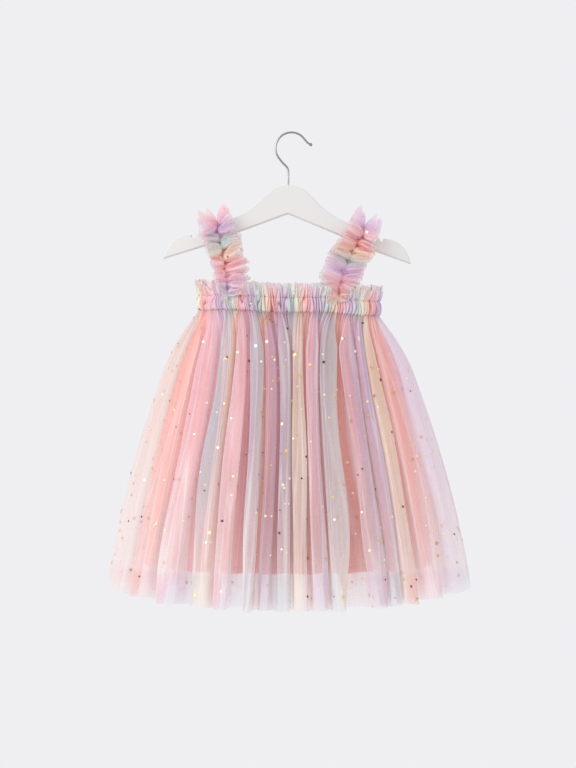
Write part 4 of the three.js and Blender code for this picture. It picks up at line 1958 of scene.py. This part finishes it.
    def clear_of_band(self, points: np.ndarray, back: np.ndarray) -> np.ndarray:
        """Keeps a strap's foot in front of the band that it is sewn to.

        Args:
            points: the strap's points in millimetres.
            back: which rows run down the back.

        Returns:
            The points, moved out where they were too near.
        """
        x, y, z = points[..., 0], points[..., 1], points[..., 2]
        up = z + droop_at(x) - WAIST_Z
        width = read_table(BAND_SECTIONS, "up", "width", up) + self.band_clearance
        depth = read_table(BAND_SECTIONS, "up", "depth", up) + self.band_clearance
        share = np.clip(np.abs(x - DRESS_X) / width, 0, 1)
        least = depth * np.sqrt(1 - share ** 2) * ramp(BAND_TOP_UP - up, -9, -4)
        facing = np.where(back, 1.0, -1.0)
        moved = np.where(facing * y < least, facing * least, y)
        return np.stack([x, moved, z], axis=-1)

    def marks(self, grid: RuffleGrid, path: StrapPath) -> dict[str, np.ndarray]:
        """Gives what the net's finish reads.

        Args:
            grid: the places.
            path: the gathering line.

        Returns:
            The stripe, how dense the net is, how pale it is from its sheerness and painted highlights, and
            its painted shade at each place.
        """
        spread, flute = grid.spread, grid.flute
        first, last = self.stripe_front
        edge = ramp(spread, 0.92, 1.0)
        foot = hump(path.rise, 0.13)
        # creases and flute_hollow_shade are painted shade, between the ruffles and in the flutes' hollows.
        creases = (1 - grid.bulge) ** 1.4 * (2.4 * hump(spread, 0.17) + 0.4 * hump(spread, 0.6))
        flute_hollow_shade = 0.24 * np.clip(-flute, 0, 1) ** 2 * (1 - 0.5 * spread)
        return {
            "stripe": first + (last - first) * (2 * grid.place - 1) + 0.06 * spread * np.sin(grid.turn),
            "cover": np.clip(0.9 - 0.6 * spread + 0.4 * edge, 0, 1) * (1 - 0.25 * grid.number),
            # Paler where the net is sheer towards its edges; its rim and the flutes' crests also get a
            # painted highlight.
            "fade": 0.05 + 0.24 * spread + 0.4 * edge + 0.35 * foot + 0.3 * np.clip(flute, 0, 1) ** 2,
            "pinch": (creases + 0.15 * hump(spread, 0.05) + flute_hollow_shade) * (1 - 0.6 * foot),
        }

    def layer(self, number: int) -> Sheet:
        """Makes one layer of the folded strip.

        Args:
            number: 0 for the outer layer and 1 for the one under it.

        Returns:
            The layer as a sheet.
        """
        grid = self.grid(number)
        path = self.path(len(grid.place))
        cloth = (grid.place * self.pattern_length * MM, grid.v * self.pattern_wing * MM)
        points = self.place(grid, path)
        return Sheet(points * MM, np.stack(np.broadcast_arrays(*cloth), axis=-1), self.marks(grid, path))

    def build(self) -> bpy.types.Object:
        """Makes the strap.

        Returns:
            The piece.
        """
        layers = [self.layer(0), self.layer(1)]
        self.sheet = layers[0]
        piece = joined(layers, self.name, self.material)
        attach(piece, "root")
        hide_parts(self.node)
        return piece


# Foil


@dataclass
class FoilScatter:
    """Foil dots, stars and moons, scattered over a sheet of net.

    Ranges hold the least and the most of a size or tone. A dot is dark, gold or pale by dot_tones and their
    odds, and a star or moon is gold.
    """

    name: str
    sheet: Sheet
    count: int
    seed: int
    slot: str
    material: bpy.types.Material
    star_share: float = 0.13
    moon_share: float = 0.05
    dot_radii: tuple[float, float] = (0.95, 1.8)
    star_radii: tuple[float, float] = (2.6, 3.3)
    star_waist: float = 0.43
    moon_radius: float = 2.3
    dot_tones: tuple[tuple[float, float], ...] = ((0.0, 0.25), (0.45, 0.75), (0.8, 1.0))
    tone_odds: tuple[float, ...] = (0.17, 0.4, 0.43)
    gold_tones: tuple[float, float] = (0.42, 0.58)
    askew: float = 0.12
    lift: float = 0.35
    thickness: float = 0.12

    def outline(self, motif: Motif) -> np.ndarray:
        """Gives a motif's outline.

        Args:
            motif: the shape.

        Returns:
            Points round a shape with a radius of 1.
        """
        if motif is Motif.MOON:
            outer = np.linspace(-2.1, 2.1, 8)
            inner = np.linspace(1.75, -1.75, 6)
            back = np.stack([np.cos(outer), np.sin(outer)], axis=1)
            hollow = np.stack([0.78 * np.cos(inner) - 0.38, 0.78 * np.sin(inner)], axis=1)
            return np.vstack([back, hollow])
        turn = np.linspace(0, 2 * np.pi, 10, endpoint=False)
        if motif is Motif.DOT:
            return np.stack([np.cos(turn), np.sin(turn)], axis=1)
        radius = np.where(np.arange(len(turn)) % 2 == 0, 1.0, self.star_waist)
        return np.stack([-radius * np.sin(turn), radius * np.cos(turn)], axis=1)

    def pick(self, draw: float) -> Motif:
        """Chooses a motif.

        Args:
            draw: a random number from 0 to 1.

        Returns:
            The motif.
        """
        if draw < self.star_share:
            return Motif.STAR
        return Motif.MOON if draw < self.star_share + self.moon_share else Motif.DOT

    def radius(self, motif: Motif, rng: np.random.Generator) -> float:
        """Draws the size of a piece of foil.

        Args:
            motif: its shape.
            rng: the scatter's random numbers.

        Returns:
            Its radius.
        """
        least, most = self.dot_radii
        dot = least + (most - least) * rng.random() ** 1.5
        star = rng.uniform(*self.star_radii)
        return {Motif.DOT: dot, Motif.STAR: star, Motif.MOON: self.moon_radius}[motif]

    def tone(self, motif: Motif, rng: np.random.Generator) -> float:
        """Draws the tone of a piece of foil.

        Args:
            motif: its shape.
            rng: the scatter's random numbers.

        Returns:
            From 0, dark, to 1, nearly white.
        """
        # Dark tones are painted shade on the foil and the palest ones a painted glint.
        tone = rng.choice([rng.uniform(*tones) for tones in self.dot_tones], p=self.tone_odds)
        least, most = self.gold_tones
        return tone if motif is Motif.DOT else least + (most - least) * tone

    def build(self) -> bpy.types.Object:
        """Makes all the foil on the sheet as one piece.

        Returns:
            The piece.
        """
        rng = np.random.default_rng(self.seed)
        faces = self.sheet.faces()
        corners = self.sheet.points.reshape(-1, 3)[faces]
        normals = self.sheet.normals().reshape(-1, 3)
        areas = np.linalg.norm(np.cross(corners[:, 2] - corners[:, 0], corners[:, 3] - corners[:, 1]), axis=1)
        points, polygons, tones = [], [], []
        for face in rng.choice(len(faces), self.count, p=areas / areas.sum()):
            motif = self.pick(rng.random())
            shape = self.outline(motif) * self.radius(motif, rng)
            normal = unit(normals[faces[face][0]] + rng.normal(0, self.askew, 3))
            side = unit(np.cross(normal, rng.normal(0, 1, 3)))
            centre = corners[face].mean(axis=0) / MM + normal * self.lift
            under = centre + shape[:, :1] * side + shape[:, 1:] * np.cross(normal, side)
            first, n = len(points), len(shape)
            points += [*(under + normal * self.thickness), *under]
            polygons.append(range(first, first + n))
            polygons.append(range(first + 2 * n - 1, first + n - 1, -1))
            for k in range(n):
                after = (k + 1) % n
                polygons.append((first + k, first + n + k, first + n + after, first + after))
            tones += [self.tone(motif, rng)] * (2 * n)
        marks = {"tone": np.array(tones)}
        piece = mesh_object(self.name, np.array(points) * MM, polygons, self.material, marks, smooth=False)
        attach(piece, "root")
        return piece


# Hanger


@dataclass
class Hanger:
    """Board and hook, which keep their solids and take new finishes."""

    wood: bpy.types.Material
    steel: bpy.types.Material

    def dress(self) -> list[bpy.types.Object]:
        """Puts the finishes on the board and the hook.

        Returns:
            Both pieces.
        """
        pieces = []
        for node, material in (("hanger_board", self.wood), ("hanger_hook", self.steel)):
            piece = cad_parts[node]
            piece.data.materials.clear()
            piece.data.materials.append(material)
            pieces.append(piece)
        return pieces


# Studio


@dataclass
class Studio:
    """Pale floor, soft light and the camera in front of the dress. Its places and sizes are in metres."""

    camera_place: tuple[float, float, float] = (-0.0042, -1.5, -0.302)
    lens_mm: float = 58.35
    sensor_mm: float = 36.0
    floor_z: float = -1.15
    floor_radius: float = 0.9
    floor_rings: tuple[float, ...] = (0.6, 0.97, 1.0)
    floor_sides: int = 72
    floor_edge_drop: float = 0.006
    lamp_place: tuple[float, float, float] = (-1.3, -1.2, 0.5)
    lamp_aim: tuple[float, float, float] = (0.0, 0.0, -0.35)
    lamp_size: float = 1.2
    lamp_watts: float = 16.5
    lamp_colour: Colour = (1.0, 0.985, 0.97)
    surroundings: str = "EFEFF2"

    def camera(self) -> None:
        """Makes the camera, level and square to the dress."""
        data = bpy.data.cameras.new("camera")
        data.lens = self.lens_mm
        data.sensor_width = self.sensor_mm
        camera = bpy.data.objects.new("camera", data)
        camera.location = self.camera_place
        camera.rotation_euler = (math.pi / 2, 0, 0)
        bpy.context.scene.collection.objects.link(camera)
        bpy.context.scene.camera = camera

    def floor(self) -> None:
        """Makes the round floor, low enough to stay out of the front view."""
        points = [(0.0, 0.0, self.floor_z)]
        for share in self.floor_rings:
            drop = self.floor_edge_drop if share == self.floor_rings[-1] else 0.0
            radius = share * self.floor_radius
            for k in range(self.floor_sides):
                turn = 2 * math.pi * k / self.floor_sides
                points.append((radius * math.cos(turn), radius * math.sin(turn), self.floor_z - drop))
        around = [(k, (k + 1) % self.floor_sides) for k in range(self.floor_sides)]
        faces = [(0, 1 + a, 1 + b) for a, b in around]
        for ring in range(len(self.floor_rings) - 1):
            inner = 1 + ring * self.floor_sides
            outer = inner + self.floor_sides
            faces += [(inner + a, outer + a, outer + b, inner + b) for a, b in around]
        mesh_object("floor", np.array(points), faces, FloorFinish().build())

    def light(self) -> None:
        """Sets the pale surroundings and one large soft light."""
        scene = bpy.context.scene
        scene.view_settings.view_transform = "Standard"
        scene.world = bpy.data.worlds.new("pale_surroundings")
        scene.world.use_nodes = True
        background = scene.world.node_tree.nodes["Background"]
        background.inputs["Color"].default_value = (*linear(self.surroundings), 1.0)
        background.inputs["Strength"].default_value = 1.0
        data = bpy.data.lights.new("soft_light", "AREA")
        data.size = self.lamp_size
        data.energy = self.lamp_watts
        data.color = self.lamp_colour
        lamp = bpy.data.objects.new("soft_light", data)
        lamp.location = self.lamp_place
        aim = Vector(self.lamp_aim) - Vector(self.lamp_place)
        lamp.rotation_euler = aim.to_track_quat("-Z", "Y").to_euler()
        scene.collection.objects.link(lamp)

    def build(self) -> None:
        """Makes the whole studio."""
        self.camera()
        self.floor()
        self.light()


def report(piece: bpy.types.Object) -> None:
    """Logs a piece's name and how many points it has."""
    LOG.info("%s: %d points", piece.name, len(piece.data.vertices))


def main() -> None:
    """Builds the dress, its hanger and the studio."""
    bpy.context.scene.cycles.transparent_max_bounces = NET_LAYERS
    Studio().build()
    skirt_net = StripedNetFinish("striped_net").build()
    band_net = StripedNetFinish(
        "gathered_net", mint="BDD3CD", cream="F6E5C6", coral="F7A59B", pink="FAB9C8", lavender="CBB0D2",
        streak_mm=1.1, streak_depth=0.2, streak_shade=0.6, crease_shade_share=1.0, crease="8C6672", glow_share=0.15,
    ).build()
    strap_net = StripedNetFinish(
        "ruffled_net", mint="BCEBE2", cream="FFEBBE", coral="FFA594", pink="FFBCCB", lavender="DDC2F4",
        streak_mm=2.2, streak_depth=0.4, crease_shade_share=1.0, crease="94606F", glow="FFE0E4", glow_share=0.36,
    ).build()
    lining_cloth = LiningFinish().build()
    thread = ThreadFinish("lining_thread", "D98079").build()
    foil = FoilFinish().build()

    for piece in Hanger(PaintedWoodFinish().build(), SteelWireFinish().build()).dress():
        report(piece)
    for lining in (
        Lining(Side.FRONT, lining_cloth, thread),
        Lining(Side.BACK, lining_cloth, thread, hem_z=(-517.0, -520.0)),
    ):
        report(lining.build())
        report(lining.stitch())
    for skirt, seed in (
        (NetSkirt(Side.FRONT, FRONT_FOLDS, skirt_net), 46),
        (NetSkirt(Side.BACK, BACK_FOLDS, skirt_net, hem_z=(-535.6, -557.0), cover_hem=0.33), 45),
    ):
        report(skirt.build())
        name = f"skirt_foil_{skirt.side.value}"
        report(FoilScatter(name, skirt.sheet, SKIRT_FOIL_COUNT, seed, "skirt_net", foil).build())
    dots_only = {"star_share": 0.0, "moon_share": 0.0}
    for side, seed in ((Side.FRONT, 56), (Side.BACK, 55)):
        band = GatheredBand(side, band_net)
        report(band.build())
        name = f"band_foil_{side.value}"
        report(FoilScatter(name, band.sheet, BAND_FOIL_COUNT, seed, "band_net", foil, **dots_only).build())
    for strap in (
        RuffleStrap(
            "ruffle_strap_left", "strap_left", top=(-88.0, -108.9), foot_x=-75.5, slope=0.43,
            stripe_front=(0.62, 2.13), material=strap_net, seed=61, low_wings=(0.62, 1.12),
        ),
        RuffleStrap(
            "ruffle_strap_right", "strap_right", top=(86.5, -114.4), foot_x=55.0, slope=-0.478,
            stripe_front=(0.87, -0.79), material=strap_net, seed=71, low_wings=(1.1, 1.0),
            paces=(0.95, 1.2), neck=0.58,
        ),
    ):
        report(strap.build())
        name = f"{strap.node}_foil"
        seed = strap.seed + FOIL_SEED_STEP
        report(FoilScatter(name, strap.sheet, STRAP_FOIL_COUNT, seed, "strap_net", foil, **dots_only).build())


if __name__ == "__main__":
    main()
